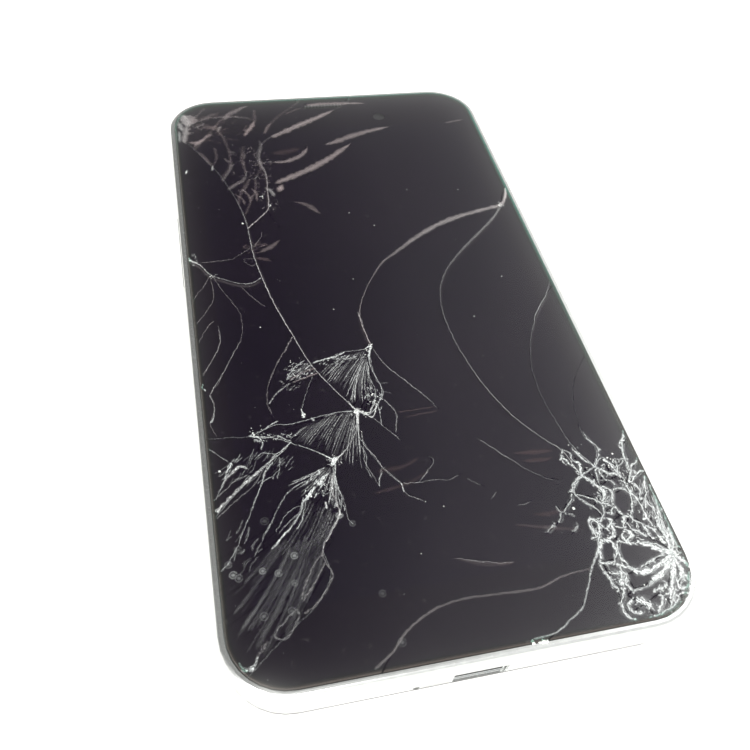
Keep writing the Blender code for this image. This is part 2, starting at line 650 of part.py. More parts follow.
def make_sound_parts():
    mic_y = -(WALL_Y - SEAT_GAP - MIC_DEPTH / 2)
    can = block(MIC_WIDTH, MIC_DEPTH, PARTS_TOP - MIC_HEIGHT, PARTS_TOP, -MIC_FROM_USB, mic_y)
    piece("microphone", can, STEEL)
    mesh_low = COVER_CLEAR
    mesh = block(SPEAKER_MESH_WIDTH, SPEAKER_MESH_DEPTH, mesh_low, mesh_low + SHEET_THICKNESS,
                 SPEAKER_X, SPEAKER_Y)
    piece("speaker_mesh", mesh, DARK_PLASTIC)
    low = mesh_low + SHEET_THICKNESS + SEAT_GAP
    box = block(SPEAKER_WIDTH, SPEAKER_DEPTH, low, PARTS_TOP, SPEAKER_X, SPEAKER_Y)
    piece("loudspeaker", box, DARK_PLASTIC)
    motor = prism(circle(MOTOR_DIAMETER, 24, MOTOR_X, MOTOR_Y), COVER_CLEAR, PARTS_TOP)
    piece("vibration_motor", motor, STEEL, smooth=True)

    ear_y = WALL_Y - 2 * SEAT_GAP - EARPIECE_DEPTH / 2
    ear = block(EARPIECE_WIDTH, EARPIECE_DEPTH, FRONT_FLOOR, PANEL_TOP, 0, ear_y)
    piece("earpiece", ear, DARK_PLASTIC)
    slot = earpiece_slot(-SLIDE_FIT)
    low = GLASS_BOTTOM + MESH_LIFT
    piece("earpiece_mesh", prism(slot, low, low + MESH_THICKNESS), STEEL)


def earpiece_slot(offset):
    """The slot's outline in the glass, moved outwards by offset."""
    width = EARPIECE_SLOT_WIDTH + 2 * offset
    slot = rounded(EARPIECE_SLOT_LENGTH + 2 * offset, width, width / 2 - 0.01 * MM, 4)
    return [(x, y + EARPIECE_Y) for x, y in slot]


# Cameras, flash and sensor

def make_cameras():
    barrel_low = COVER_CLEAR
    shoulder = barrel_low + BARREL_LENGTH
    body = block(CAMERA_SIZE, CAMERA_SIZE, shoulder, BOARD_TOP, CAMERA_X, CAMERA_Y)
    camera = piece("rear_camera", body, DARK_PLASTIC)
    barrel = prism(circle(CAMERA_BARREL, 24, CAMERA_X, CAMERA_Y), barrel_low, shoulder + CUT_OVERRUN)
    join(camera, "camera barrel", barrel)

    ring_inner = circle(WINDOW_DIAMETER + 2 * SLIDE_FIT, 32, CAMERA_X, CAMERA_Y)
    ring_outer = circle(RING_DIAMETER, 32, CAMERA_X, CAMERA_Y)
    bevelled = circle(RING_DIAMETER - 2 * RING_EASE, 32, CAMERA_X, CAMERA_Y)
    ring = loft([(bevelled, 0), (ring_outer, RING_EASE), (ring_outer, COVER_THICKNESS),
                 (ring_inner, COVER_THICKNESS), (ring_inner, 0)], closed=True)
    piece("camera_ring", ring, STEEL, smooth=True)
    window = prism(circle(WINDOW_DIAMETER, 32, CAMERA_X, CAMERA_Y), WINDOW_RECESS, COVER_THICKNESS)
    piece("camera_window", window, BLACK_GLASS, smooth=True)

    lens = prism(circle(FLASH_DIAMETER, 20, FLASH_X, CAMERA_Y), FLASH_RECESS, COVER_THICKNESS)
    piece("flash_lens", lens, ((0.8, 0.78, 0.6), 0.2, 0.0), smooth=True)
    led = block(LED_SIZE, LED_SIZE, COVER_CLEAR, PARTS_TOP, FLASH_X, CAMERA_Y)
    piece("flash_led", led, ((0.85, 0.8, 0.45), 0.4, 0.0))

    size = FRONT_CAMERA_SIZE
    low, high = FRONT_FLOOR, PANEL_TOP
    shelf = high - FRONT_LENS_RISE
    front = block(size, size, low, shelf, FRONT_CAMERA_X, FRONT_CAMERA_Y)
    selfie = piece("front_camera", front, DARK_PLASTIC)
    eye = prism(circle(FRONT_LENS_DIAMETER, 20, FRONT_CAMERA_X, FRONT_CAMERA_Y), shelf - CUT_OVERRUN, high)
    join(selfie, "front camera lens", eye)
    sensor = block(SENSOR_WIDTH, SENSOR_DEPTH, low, high, SENSOR_X, FRONT_CAMERA_Y)
    piece("proximity_sensor", sensor, DARK_PLASTIC)


# Side keys

def flange_face():
    """The inner face of a key's flange, measured out from the phone's middle."""
    return WALL_X - SEAT_GAP - KEY_FLANGE


def volume_switch_places():
    reach = VOLUME_LENGTH / 2 - SWITCH_LENGTH
    return (VOLUME_Y - reach, VOLUME_Y + reach)


def key_mesh(side, y, length):
    """A key's cap: the bar that passes the frame's slot, with rounded corners on its outer face."""
    inner = flange_face() + KEY_FLANGE / 2
    outer = SIDE_X + KEY_PROUD
    half = length / 2
    plan = [(inner, y - half), (outer - KEY_EASE, y - half), (outer, y - half + KEY_EASE),
            (outer, y + half - KEY_EASE), (outer - KEY_EASE, y + half), (inner, y + half)]
    if side < 0:
        plan = [(-x, py) for x, py in reversed(plan)]
    return prism(plan, KEY_Z - KEY_HEIGHT / 2, KEY_Z + KEY_HEIGHT / 2)


def make_key(name, side, y, length, pivot_x):
    key = make_object(name, key_mesh(side, y, length), (pivot_x, y, KEY_Z))
    paint(key, LIGHT_METAL)
    key.parent = PHONE
    half = KEY_HEIGHT / 2 + FLANGE_LIP
    flange = block(KEY_FLANGE, length + 2 * FLANGE_LIP, KEY_Z - half, KEY_Z + half,
                   side * (flange_face() + KEY_FLANGE / 2), y)
    join(key, name + " flange", flange)


def make_keys():
    make_key("power_button", 1, POWER_Y, POWER_LENGTH, SIDE_X)
    make_key("volume_rocker", -1, VOLUME_Y, VOLUME_LENGTH, -(flange_face() + KEY_FLANGE / 2))
    middle = SWITCH_BACK + SWITCH_DEPTH / 2
    low, high = KEY_Z - KEY_HEIGHT / 2, KEY_Z + KEY_HEIGHT / 2
    down, up = volume_switch_places()
    for name, side, y in (("power_switch", 1, POWER_Y), ("volume_down_switch", -1, down),
                          ("volume_up_switch", -1, up)):
        piece(name, block(SWITCH_DEPTH, SWITCH_LENGTH, low, high, side * middle, y), DARK_PLASTIC)


# SIM tray, card and reader

def tray_heights():
    """The tray's underside and top."""
    high = PARTS_TOP - READER_WALL - SLIDE_FIT
    return high - TRAY_FLOOR - CARD_THICKNESS - CARD_CLEAR, high


def make_tray():
    low, high = tray_heights()
    inner_x = SIDE_X - TRAY_DEPTH
    body = block(TRAY_DEPTH - TRAY_FACE_THICKNESS / 2, TRAY_WIDTH, low, high,
                 inner_x + (TRAY_DEPTH - TRAY_FACE_THICKNESS / 2) / 2, TRAY_Y)
    tray = make_object("sim_tray", body, (SIDE_X, TRAY_Y, (low + high) / 2))
    paint(tray, LIGHT_METAL)
    tray.parent = PHONE
    face_width = CARD_WIDTH + 2 * (TRAY_RIM + TRAY_FACE_LIP)
    face = block(TRAY_FACE_THICKNESS, face_width, low - TRAY_FACE_BROW, high + TRAY_FACE_BROW,
                 SIDE_X - TRAY_FACE_THICKNESS / 2, TRAY_Y)
    join(tray, "tray face", face)
    card_x = inner_x + TRAY_RIM + SLIDE_FIT + CARD_LENGTH / 2
    pocket = block(CARD_LENGTH + 2 * SLIDE_FIT, CARD_WIDTH + 2 * SLIDE_FIT,
                   low + TRAY_FLOOR, high + CUT_OVERRUN, card_x, TRAY_Y)
    cut(tray, "card pocket", pocket)
    card_low = low + TRAY_FLOOR + SLIDE_FIT
    card = block(CARD_LENGTH, CARD_WIDTH, card_low, card_low + CARD_THICKNESS, card_x, TRAY_Y)
    piece("sim_card", card, ((0.75, 0.75, 0.75), 0.4, 0.0))

    start = inner_x - SEAT_GAP - READER_WALL
    end = WALL_X - READER_SET_BACK
    cage = block(end - start, READER_WIDTH, low, PARTS_TOP, (start + end) / 2, TRAY_Y)
    reader = piece("sim_reader", cage, STEEL)
    room = block(end - start, READER_WIDTH - 2 * READER_WALL, low - CUT_OVERRUN, PARTS_TOP - READER_WALL,
                 (start + end) / 2 + READER_WALL, TRAY_Y)
    cut(reader, "reader room", room)


# Screws

def make_screws():
    for name, (x, y, seat) in screw_places().items():
        head_top = seat - SEAT_GAP
        head_low = head_top - SCREW_HEAD_HEIGHT
        tip = LEDGE_BOTTOM + SCREW_BITE
        rings = [(circle(SCREW_HEAD - 2 * SCREW_HEAD_EASE, 14, x, y), head_low),
                 (circle(SCREW_HEAD, 14, x, y), head_low + SCREW_HEAD_EASE),
                 (circle(SCREW_HEAD, 14, x, y), head_top),
                 (circle(SCREW_SHANK, 14, x, y), head_top),
                 (circle(SCREW_SHANK, 14, x, y), tip - SCREW_POINT),
                 (circle(SCREW_SHANK - 2 * SCREW_POINT, 14, x, y), tip)]
        screw = piece(name, loft(rings), STEEL, smooth=True)
        recess_top = head_low + RECESS_DEPTH
        for turn, wide, deep in (("first", RECESS_SPAN, RECESS_BAR), ("second", RECESS_BAR, RECESS_SPAN)):
            slot = block(wide, deep, head_low - CUT_OVERRUN, recess_top, x, y)
            cut(screw, name + " recess " + turn, slot)


# The shattered glass. Main cracks run right through and part it into shards; fine cracks are grooves.
# Points are on a crack map that spans the glass: from its middle, 1000 to the right is its right edge and
# 1000 up its upper end, so the cracks reach the edges of a glass of any size.

MAIN_CRACKS = {
    "long crack": [(-1038, 818), (-941, 787), (-890, 740), (-797, 647), (-752, 591), (-704, 513),
                   (-671, 443), (-650, 373), (-644, 295), (-638, 218), (-611, 124), (-577, 31), (-511, -93),
                   (-445, -205), (-361, -289), (-298, -345), (-277, -364)],
    "fan join": [(-277, -364), (-301, -420), (-367, -470), (-430, -498)],
    "lower fan side": [(-430, -498), (-445, -552), (-436, -599), (-460, -642), (-511, -680),
                       (-559, -715), (-547, -778), (-620, -837), (-722, -877), (-842, -924), (-968, -977)],
    "left edge crack": [(-1038, 240), (-989, 227), (-938, 205), (-890, 162), (-818, 138), (-740, 117),
                        (-674, 114), (-614, 134)],
    "middle fan top": [(-277, -364), (-373, -361), (-469, -367), (-602, -378), (-680, -375),
                       (-797, -398), (-902, -393), (-1038, -390)],
    "middle fan foot": [(-430, -498), (-517, -463), (-617, -432), (-704, -409), (-797, -398)],
    "lower left crack": [(-617, -432), (-668, -456), (-776, -495), (-902, -554), (-1038, -602)],
    "upper fan top": [(-445, -198), (-367, -187), (-271, -171), (-186, -171), (-120, -160)],
    "upper fan side": [(-120, -160), (-150, -196), (-150, -243), (-129, -305), (-162, -348), (-223, -379),
                       (-277, -364)],
    "corner crack": [(-647, 342), (-553, 393), (-505, 429), (-490, 513), (-481, 591), (-502, 669),
                     (-469, 747), (-385, 793), (-271, 826), (-120, 869), (0, 905), (102, 939), (226, 1019)],
    "arc crack": [(1038, 439), (962, 395), (911, 358), (830, 347), (722, 334), (602, 317), (451, 285),
                  (301, 238), (180, 191), (75, 151), (0, 101), (-66, 47), (-117, -8), (-141, -62),
                  (-132, -124), (-120, -160)],
    "second arc": [(911, 358), (848, 314), (752, 264), (602, 194), (481, 132), (400, 78), (346, 22),
                   (313, -62), (316, -140), (337, -224), (388, -334), (475, -440), (571, -513),
                   (647, -563), (686, -635)],
    "web side": [(686, -635), (620, -678), (680, -720), (704, -748), (641, -760), (647, -793),
                 (620, -827)],
    "bottom crack": [(620, -827), (553, -871), (517, -902), (487, -925), (451, -949), (379, -970),
                     (301, -989), (205, -1019)],
    "low arc": [(-451, -1019), (-367, -966), (-301, -933), (-211, -905), (-120, -888), (0, -882), (150, -886),
                (301, -888), (421, -872), (559, -866)],
    "right arc": [(1038, 12), (932, -40), (872, -78), (818, -114), (782, -148), (740, -190), (701, -241),
                  (671, -295), (659, -358), (662, -412), (680, -482), (707, -552), (770, -616)],
    "right chip crack": [(1038, -252), (983, -277), (911, -319), (857, -358), (812, -412), (791, -467),
                         (782, -521), (812, -569), (770, -616)],
    "web top": [(686, -635), (770, -616), (824, -596), (872, -625), (923, -610), (944, -575),
                (1038, -526)],
}

# A point inside each shard
SHARDS = {
    "glass_corner_crushed": (-602, 778),
    "glass_left_upper": (-842, 389),
    "glass_left_middle": (-782, -233),
    "glass_fan_upper": (-241, -249),
    "glass_fan_middle": (-451, -420),
    "glass_left_lower": (-902, -467),
    "glass_fan_lower": (-752, -700),
    "glass_upper": (150, 544),
    "glass_centre": (90, -467),
    "glass_bottom": (0, -949),
    "glass_right_upper": (752, 124),
    "glass_right_middle": (752, -389),
    "glass_right_lower": (902, -467),
    "glass_web": (842, -715),
}

FINE_CRACKS = [
    # crushed upper left corner
    [(-677, 454), (-662, 490), (-626, 529), (-583, 575)],
    [(-647, 404), (-598, 467), (-559, 523), (-550, 582)],
    [(-728, 532), (-671, 552), (-614, 566)],
    [(-752, 591), (-698, 631), (-680, 684), (-686, 747)],
    [(-797, 647), (-764, 694), (-770, 747)],
    [(-598, 605), (-611, 669), (-589, 747)],
    [(-550, 582), (-511, 616), (-508, 663)],
    [(-890, 740), (-830, 793), (-752, 855), (-674, 918), (-589, 964)],
    [(-941, 787), (-914, 840), (-902, 886)],
    [(-902, 886), (-800, 911), (-674, 918)],
    [(-902, 886), (-848, 933), (-794, 974)],
    [(-752, 855), (-710, 809), (-686, 747)],
    [(-571, 802), (-523, 843), (-484, 886), (-475, 949)],
    [(-439, 806), (-391, 855), (-313, 908), (-211, 958), (-150, 1019)],
    [(-674, 918), (-559, 908), (-484, 886)],
    # streaks in the upper shard
    [(-490, 513), (-448, 518), (-397, 547), (-271, 580), (-150, 611), (0, 663), (108, 722)],
    [(-60, 734), (60, 753), (241, 784), (391, 809)],
    [(-499, 656), (-361, 658), (-253, 678), (-186, 728)],
    [(-343, 451), (-271, 425), (-205, 381)],
    [(-511, 417), (-493, 373), (-463, 336)],
    [(911, 358), (962, 420), (1038, 467)],
    # left edge
    [(-629, 267), (-680, 246), (-746, 222), (-788, 215), (-947, 213)],
    [(-632, 213), (-698, 210), (-662, 184), (-629, 193)],
    [(-638, 258), (-589, 292), (-565, 327)],
    [(-890, 162), (-932, 117), (-980, 82), (-1038, 56)],
    [(-890, 159), (-884, 78), (-908, 42), (-1038, -25)],
    [(-878, 156), (-824, 82), (-782, 37), (-758, -6), (-764, -70), (-794, -109), (-857, -171),
     (-914, -227), (-956, -258), (-944, -292), (-956, -327), (-971, -347), (-944, -392)],
    [(-881, -44), (-878, -82), (-893, -112), (-932, -152), (-986, -202)],
    [(-896, -12), (-932, -33), (-1038, -90)],
    [(-734, 106), (-686, 62), (-623, 16)],
    # from the long crack to the fans
    [(-514, -93), (-571, -149), (-623, -196), (-668, -246), (-689, -289), (-692, -325), (-674, -373)],
    [(-445, -199), (-511, -208), (-562, -232), (-608, -267)],
    [(-436, -215), (-511, -227), (-571, -252)],
    [(-427, -230), (-511, -246), (-571, -260), (-632, -281), (-692, -317)],
    [(-415, -240), (-469, -264), (-511, -305), (-541, -351)],
    # branches under the fans
    [(-280, -420), (-280, -467), (-241, -505), (-220, -537), (-156, -585), (-150, -610), (-69, -642)],
    [(-283, -463), (-295, -513), (-259, -582)],
    [(-223, -533), (-256, -575)],
    [(-156, -585), (-75, -589), (6, -588), (60, -594), (132, -583)],
    [(-75, -589), (18, -541), (0, -519)],
    [(-138, -336), (-96, -378), (-93, -395), (-114, -428), (-111, -454)],
    [(-223, -379), (-162, -423), (-102, -467)],
    [(-117, -168), (-81, -227), (0, -288), (90, -358), (120, -389)],
    [(144, -597), (217, -625)],
    [(268, -642), (220, -666)],
    [(337, -684), (370, -687), (406, -680)],
    [(265, -491), (349, -544), (445, -597), (529, -631), (568, -636)],
    [(-15, -787), (75, -804), (150, -815), (241, -823)],
    # strands above the lower fan
    [(-797, -398), (-755, -423), (-788, -457), (-824, -516)],
    [(-662, -454), (-689, -488), (-740, -513), (-824, -583), (-866, -638), (-914, -687), (-1038, -759)],
    [(-1038, -411), (-932, -448), (-902, -467), (-926, -501), (-938, -569)],
    [(-926, -501), (-854, -482), (-794, -457)],
    [(-445, -507), (-541, -524), (-620, -554), (-674, -563), (-722, -594), (-770, -641), (-806, -694)],
    [(-583, -585), (-644, -613), (-722, -669), (-788, -705)],
    # crushed lower right corner, from the left side of the web inwards
    [(683, -628), (641, -591), (632, -569), (659, -558), (686, -579), (707, -610), (740, -642),
     (752, -672), (740, -697), (749, -719), (704, -748)],
    [(770, -616), (791, -641), (752, -672)],
    [(791, -641), (830, -633), (866, -649), (884, -675), (872, -714), (833, -757), (794, -776),
     (821, -795), (758, -815), (728, -806)],
    [(824, -596), (830, -633)],
    [(752, -672), (803, -659), (866, -649), (872, -625)],
    [(884, -675), (848, -689), (788, -697), (770, -728), (782, -754), (833, -757), (863, -774),
     (884, -798), (878, -821), (920, -840), (950, -865)],
    [(620, -678), (677, -691), (713, -703), (740, -697)],
    [(680, -720), (713, -703)],
    [(731, -736), (770, -728)],
    [(782, -754), (722, -768), (680, -781), (647, -793)],
    [(722, -768), (728, -806), (665, -809), (620, -827)],
    [(728, -806), (710, -834), (713, -865), (752, -885), (812, -880), (872, -869), (950, -865)],
    [(758, -815), (806, -827), (878, -834), (920, -840)],
    [(620, -827), (614, -855), (680, -854), (710, -834)],
    [(614, -855), (623, -886), (632, -918), (626, -956), (662, -1019)],
    [(623, -886), (662, -890), (713, -865)],
    [(662, -890), (698, -896), (707, -927), (797, -918), (866, -904), (950, -865)],
    [(752, -885), (698, -896)],
    [(632, -918), (665, -939), (707, -927)],
    [(665, -939), (722, -964), (758, -1019)],
    [(722, -964), (812, -946), (863, -932), (905, -900), (950, -865)],
    [(812, -946), (833, -967), (833, -1011)],
    [(626, -956), (668, -974), (722, -964)],
    [(950, -865), (920, -924), (890, -970)],
    [(950, -865), (1038, -918)],
    [(950, -865), (1038, -846)],
    [(950, -865), (971, -813), (980, -770), (1038, -715)],
    [(950, -865), (938, -813), (911, -785), (929, -765), (908, -731), (872, -714)],
    [(908, -731), (950, -708), (1038, -673)],
    [(884, -675), (926, -641), (923, -610)],
    [(926, -641), (1038, -603)],
    [(884, -675), (932, -663), (1038, -638)],
    [(908, -731), (914, -703), (884, -675)],
    [(938, -813), (962, -781), (950, -737), (950, -708)],
    [(620, -678), (553, -709), (511, -731), (487, -747), (421, -767)],
    [(520, -706), (523, -725)],
    [(535, -778), (580, -765)],
]

# A fan is a sheaf of strands from one rail to another: name, first rail, second rail, spacing of the strands
# at the second rail, and their bow as a share of a strand's length
FANS = [
    ("upper fan", [(-198, -177), (-159, -202), (-162, -286)], [(-415, -240), (-289, -351), (-223, -373)],
     1.36 * MM, 0.05),
    ("middle fan", [(-307, -367), (-310, -417), (-415, -485)], [(-650, -392), (-608, -429), (-457, -482)],
     1.1 * MM, -0.03),
    ("lower fan", [(-463, -526), (-478, -647), (-571, -771)], [(-1011, -709), (-1011, -840), (-830, -914)],
     1.34 * MM, 0.05),
]

# Edge chips: middle, and its half sizes along and across the edge
CHIPS = {
    "upper left chip": ((-980, 902), 2.0, 1.4),
    "left chip": ((-1020, 232), 0.9, 1.0),
    "right chip": ((1023, 403), 0.8, 1.1),
    "lower right chip": ((1032, -871), 1.3, 1.5),
    "lower left chip": ((-980, -953), 1.5, 1.1),
    "bottom chip": ((232, -1011), 0.9, 1.0),
}


def on_glass(point):
    """A point of the crack map, in metres on the real glass."""
    return Vector((point[0] / 1000 * GLASS_WIDTH / 2, point[1] / 1000 * GLASS_LENGTH / 2))


def crack_line(points):
    """A crack's line on the glass. A long stretch gets a middle point, on a smooth curve through its ends."""
    line = [on_glass(p) for p in points]
    smooth = [line[0]]
    for i in range(len(line) - 1):
        a, b = line[i], line[i + 1]
        if (b - a).length > SMOOTH_STRETCH:
            before = line[i - 1] if i > 0 else a
            after = line[i + 2] if i + 2 < len(line) else b
            smooth.append((9 * (a + b) - before - after) / 16)
        smooth.append(b)
    return smooth


def along(rail, share):
    """The point at a share of the way through a rail's points, counted by point."""
    place = share * (len(rail) - 1)
    i = min(int(place), len(rail) - 2)
    return rail[i].lerp(rail[i + 1], place - i)


def fan_strands(first, second, spacing, bow):
    """The strands of a fan. Each bows sideways at its middle, and some start late or stop short."""
    first, second = [on_glass(p) for p in first], [on_glass(p) for p in second]
    spans = round(sum((b - a).length for a, b in zip(second, second[1:])) / spacing)
    strands = []
    for i in range(spans + 1):
        share = i / spans
        a, b = along(first, share), along(second, share)
        start, stop = 0.14 * (i % 3 == 1), 1 - 0.2 * (i % 3 == 2)
        run = b - a
        side = Vector((-run.y, run.x)) * bow * 4
        strand = []
        for part in (0, 0.5, 1):
            t = start + part * (stop - start)
            strand.append(a + t * run + t * (1 - t) * side)
        strands.append(strand)
    return strands


def crack_sides(line, half):
    """The two edges of a crack of that half width along a line, mitred at its bends, and the line itself."""
    line = list(line)
    first = (line[0] - line[1]).normalized() * CRACK_OVERRUN
    last = (line[-1] - line[-2]).normalized() * CRACK_OVERRUN
    line[0] = line[0] + first
    line[-1] = line[-1] + last
    left, right = [], []
    for i, point in enumerate(line):
        before = (point - line[i - 1]).normalized() if i > 0 else (line[1] - line[0]).normalized()
        after = (line[i + 1] - point).normalized() if i < len(line) - 1 else before
        middle = (before + after).normalized()
        side = Vector((-middle.y, middle.x)) * half / max(middle.dot(after), 0.6)
        left.append(point + side)
        right.append(point - side)
    return left, right, line


def slot_mesh(line):
    """A crack that runs right through: an upright ribbon."""
    left, right, _ = crack_sides(line, CRACK_GAP / 2)
    outline = [tuple(p) for p in right] + [tuple(p) for p in reversed(left)]
    mesh = bmesh.new()
    low, high = GLASS_BOTTOM - CUT_OVERRUN, GLASS_TOP + CUT_OVERRUN
    rings = [[mesh.verts.new((x, y, z)) for x, y in outline] for z in (low, high)]
    count = len(line)
    for i in range(2 * count):
        j = (i + 1) % (2 * count)
        mesh.faces.new((rings[0][i], rings[0][j], rings[1][j], rings[1][i]))
    for ring in rings:
        for i in range(count - 1):
            mesh.faces.new((ring[i], ring[i + 1], ring[2 * count - 2 - i], ring[2 * count - 1 - i]))
    bmesh.ops.recalc_face_normals(mesh, faces=mesh.faces)
    return mesh


def groove_mesh(line, number):
    """A fine crack: a V that is widest above the glass and whose foot lies inside it."""
    depth = GROOVE_DEPTH + GROOVE_DEPTH_STEP * (number % 5)
    rise = 0.1 * MM
    half = GROOVE_WIDTH / 2 * (depth + rise) / depth
    left, right, line = crack_sides(line, half)
    mesh = bmesh.new()
    top, foot = GLASS_TOP + rise, GLASS_TOP - depth
    rings = []
    for a, b, c in zip(left, right, line):
        rings.append([mesh.verts.new((a.x, a.y, top)), mesh.verts.new((b.x, b.y, top)),
                      mesh.verts.new((c.x, c.y, foot))])
    for low, high in zip(rings, rings[1:]):
        for i in range(3):
            j = (i + 1) % 3
            mesh.faces.new((low[i], low[j], high[j], high[i]))
    mesh.faces.new(rings[0])
    mesh.faces.new(rings[-1])
    bmesh.ops.recalc_face_normals(mesh, faces=mesh.faces)
    return mesh


def chip_mesh(middle, long, wide):
    """A shell broken from the edge: a flat-sided bowl that opens upwards and outwards."""
    centre = on_glass(middle)
    rings = []
    for share, z in ((1.0, GLASS_TOP + 0.2 * MM), (0.8, GLASS_TOP - 0.25 * MM), (0.45, GLASS_TOP - 0.5 * MM)):
        outline = []
        for i in range(7):
            turn = 2 * math.pi * (i + 0.3) / 7
            reach = share * (1 + 0.16 * math.sin(2.7 * i + middle[0]))
            across, up = wide * MM * reach * math.cos(turn), long * MM * reach * math.sin(turn)
            outline.append((centre.x + across, centre.y + up))
        rings.append((outline, z))
    return loft(rings)


def find_islands(mesh):
    """The separate shells of a mesh, each as a set of vertices."""
    waiting = set(mesh.verts)
    islands = []
    while waiting:
        found = {waiting.pop()}
        front = set(found)
        while front:
            front = {edge.other_vert(v) for v in front for edge in v.link_edges} - found
            found |= front
        waiting -= found
        islands.append(found)
    return islands


def holds(faces, point):
    """True where a point lies under one of the faces, seen from above."""
    for face in faces:
        corners = [(v.co.x, v.co.y) for v in face.verts]
        inside = False
        for (x0, y0), (x1, y1) in zip(corners, corners[1:] + corners[:1]):
            if (y0 > point.y) != (y1 > point.y) and point.x < x0 + (point.y - y0) / (y1 - y0) * (x1 - x0):
                inside = not inside
        if inside:
            return True
    return False


def shattered_glass():
    """The cover glass with every crack and chip cut, as one mesh of separate shards."""
    edge = glass_outline(0)
    bevel = glass_outline(-GLASS_CHAMFER)
    rings = [(edge, GLASS_BOTTOM), (edge, GLASS_TOP - GLASS_CHAMFER), (bevel, GLASS_TOP)]
    glass = make_object("whole glass", loft(rings))
    cuts = bpy.data.collections.new("cracks")
    meshes = [slot_mesh(crack_line(points)) for points in MAIN_CRACKS.values()]
    fine = [crack_line(points) for points in FINE_CRACKS]
    for _, first, second, spacing, bow in FANS:
        fine += fan_strands(first, second, spacing, bow)
    meshes += [groove_mesh(line, i) for i, line in enumerate(fine)]
    meshes += [chip_mesh(*chip) for chip in CHIPS.values()]
    meshes.append(prism(earpiece_slot(0), GLASS_BOTTOM - CUT_OVERRUN, GLASS_TOP + CUT_OVERRUN))
    made = [glass]
    for i, mesh in enumerate(meshes):
        item = make_object("crack %d" % i, mesh)
        bpy.context.scene.collection.objects.unlink(item)
        cuts.objects.link(item)
        made.append(item)
    bpy.context.scene.collection.children.link(cuts)
    step = glass.modifiers.new("cracks", "BOOLEAN")
    step.operand_type = "COLLECTION"
    step.collection = cuts
    step.solver = "EXACT"
    bpy.context.view_layer.update()
    shaped = glass.evaluated_get(bpy.context.evaluated_depsgraph_get())
    result = bmesh.new()
    result.from_mesh(shaped.to_mesh())
    for item in made:
        bpy.data.objects.remove(item, do_unlink=True)
    bpy.data.collections.remove(cuts)
    return result


def make_glass():
    """One object for each shard, named by the point that it holds. Grains that no shard holds are lost."""
    whole = shattered_glass()
    islands = find_islands(whole)
    bottoms = []
    for island in islands:
        faces = {f for v in island for f in v.link_faces}
        bottoms.append([f for f in faces if all(v.co.z < GLASS_BOTTOM + 0.01 * MM for v in f.verts)])
    for name, point in SHARDS.items():
        place = on_glass(point)
        for island, faces in zip(islands, bottoms):
            if holds(faces, place):
                kept = whole.copy()
                kept.verts.ensure_lookup_table()
                numbers = {v.index for v in island}
                others = [v for v in kept.verts if v.index not in numbers]
                bmesh.ops.delete(kept, geom=others, context="VERTS")
                piece(name, kept, BLACK_GLASS)
                break
    whole.free()


clear_scene()
PHONE = bpy.data.objects.new("phone", None)
bpy.context.scene.collection.objects.link(PHONE)
make_side_frame()
make_back_cover()
make_tape()
make_display()
make_mid_plate()
make_battery()
make_main_board()
make_lower_board()
make_sockets()
make_sound_parts()
make_cameras()
make_keys()
make_tray()
make_screws()
make_glass()
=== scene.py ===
# %% [markdown]
# # A phone with a shattered front glass
# The real thing is a slab of layers: a clear cover glass, black ink and a dark display bonded under it, a
# light metal side frame and a dark glossy back cover. The glass took two blows, at its corners, and it is
# still held in place. This lesson dresses the measured solids: it lights them, gives each layer its finish,
# and draws what the solids are too coarse for: the frosted lips of the cracks, crushed grains and
# dust. All lengths are metres, in the same frame as the solids: the phone lies on its back on z = 0, +Y is
# the earpiece end and +X its right side.

# %% Open the measured solids
import math

import bmesh
import bpy
import numpy as np
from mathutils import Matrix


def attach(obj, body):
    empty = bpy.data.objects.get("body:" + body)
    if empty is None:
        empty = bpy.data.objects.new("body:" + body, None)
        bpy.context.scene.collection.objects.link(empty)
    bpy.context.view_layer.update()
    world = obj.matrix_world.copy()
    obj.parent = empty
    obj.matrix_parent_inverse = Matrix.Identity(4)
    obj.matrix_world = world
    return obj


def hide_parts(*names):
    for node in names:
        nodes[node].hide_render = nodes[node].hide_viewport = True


MM = 0.001
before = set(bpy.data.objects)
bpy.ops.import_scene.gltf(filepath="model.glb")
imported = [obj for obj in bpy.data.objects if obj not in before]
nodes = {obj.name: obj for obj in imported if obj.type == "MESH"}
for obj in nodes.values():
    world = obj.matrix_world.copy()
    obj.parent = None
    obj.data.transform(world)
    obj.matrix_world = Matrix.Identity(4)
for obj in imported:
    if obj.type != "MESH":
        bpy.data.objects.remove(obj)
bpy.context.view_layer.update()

# %% [markdown]
# ## Camera
# The photograph was taken close to the phone, from its lower left, with a short lens, so the near end looks
# much wider than the far end. Matching the glass outline to the picture gives one place, one turn and one
# focal length.

# %% Camera
camera_data = bpy.data.cameras.new("camera")
camera_data.sensor_width = 36.0
camera_data.lens = 37.53
camera_data.clip_start = 0.005
camera = bpy.data.objects.new("camera", camera_data)
camera.location = (-29.575 * MM, -93.899 * MM, 110.899 * MM)
camera.rotation_euler = (0.66837, -0.07879, -0.21165)
bpy.context.scene.collection.objects.link(camera)
bpy.context.scene.camera = camera
print("camera is", round(camera.location.length / MM), "mm from the middle of the phone's back")

# %% [markdown]
# ## Building materials
# A material is a small network of nodes. One helper adds any node with its settings, values and links, and
# three short ones do the commonest kinds, so each recipe below reads as a list of what is wired to what.
# Colours are written as they look on a screen and turned into linear light, which is what the shaders work
# in.

# %% One way to add a node
def add_node(tree, kind, inputs=(), **settings):
    """A node of that kind. inputs maps a socket's name or number to a value or to the socket feeding it."""
    node = tree.nodes.new(kind)
    for name, value in settings.items():
        setattr(node, name, value)
    for name, value in dict(inputs).items():
        if isinstance(value, bpy.types.NodeSocket):
            tree.links.new(value, node.inputs[name])
        else:
            node.inputs[name].default_value = value
    return node


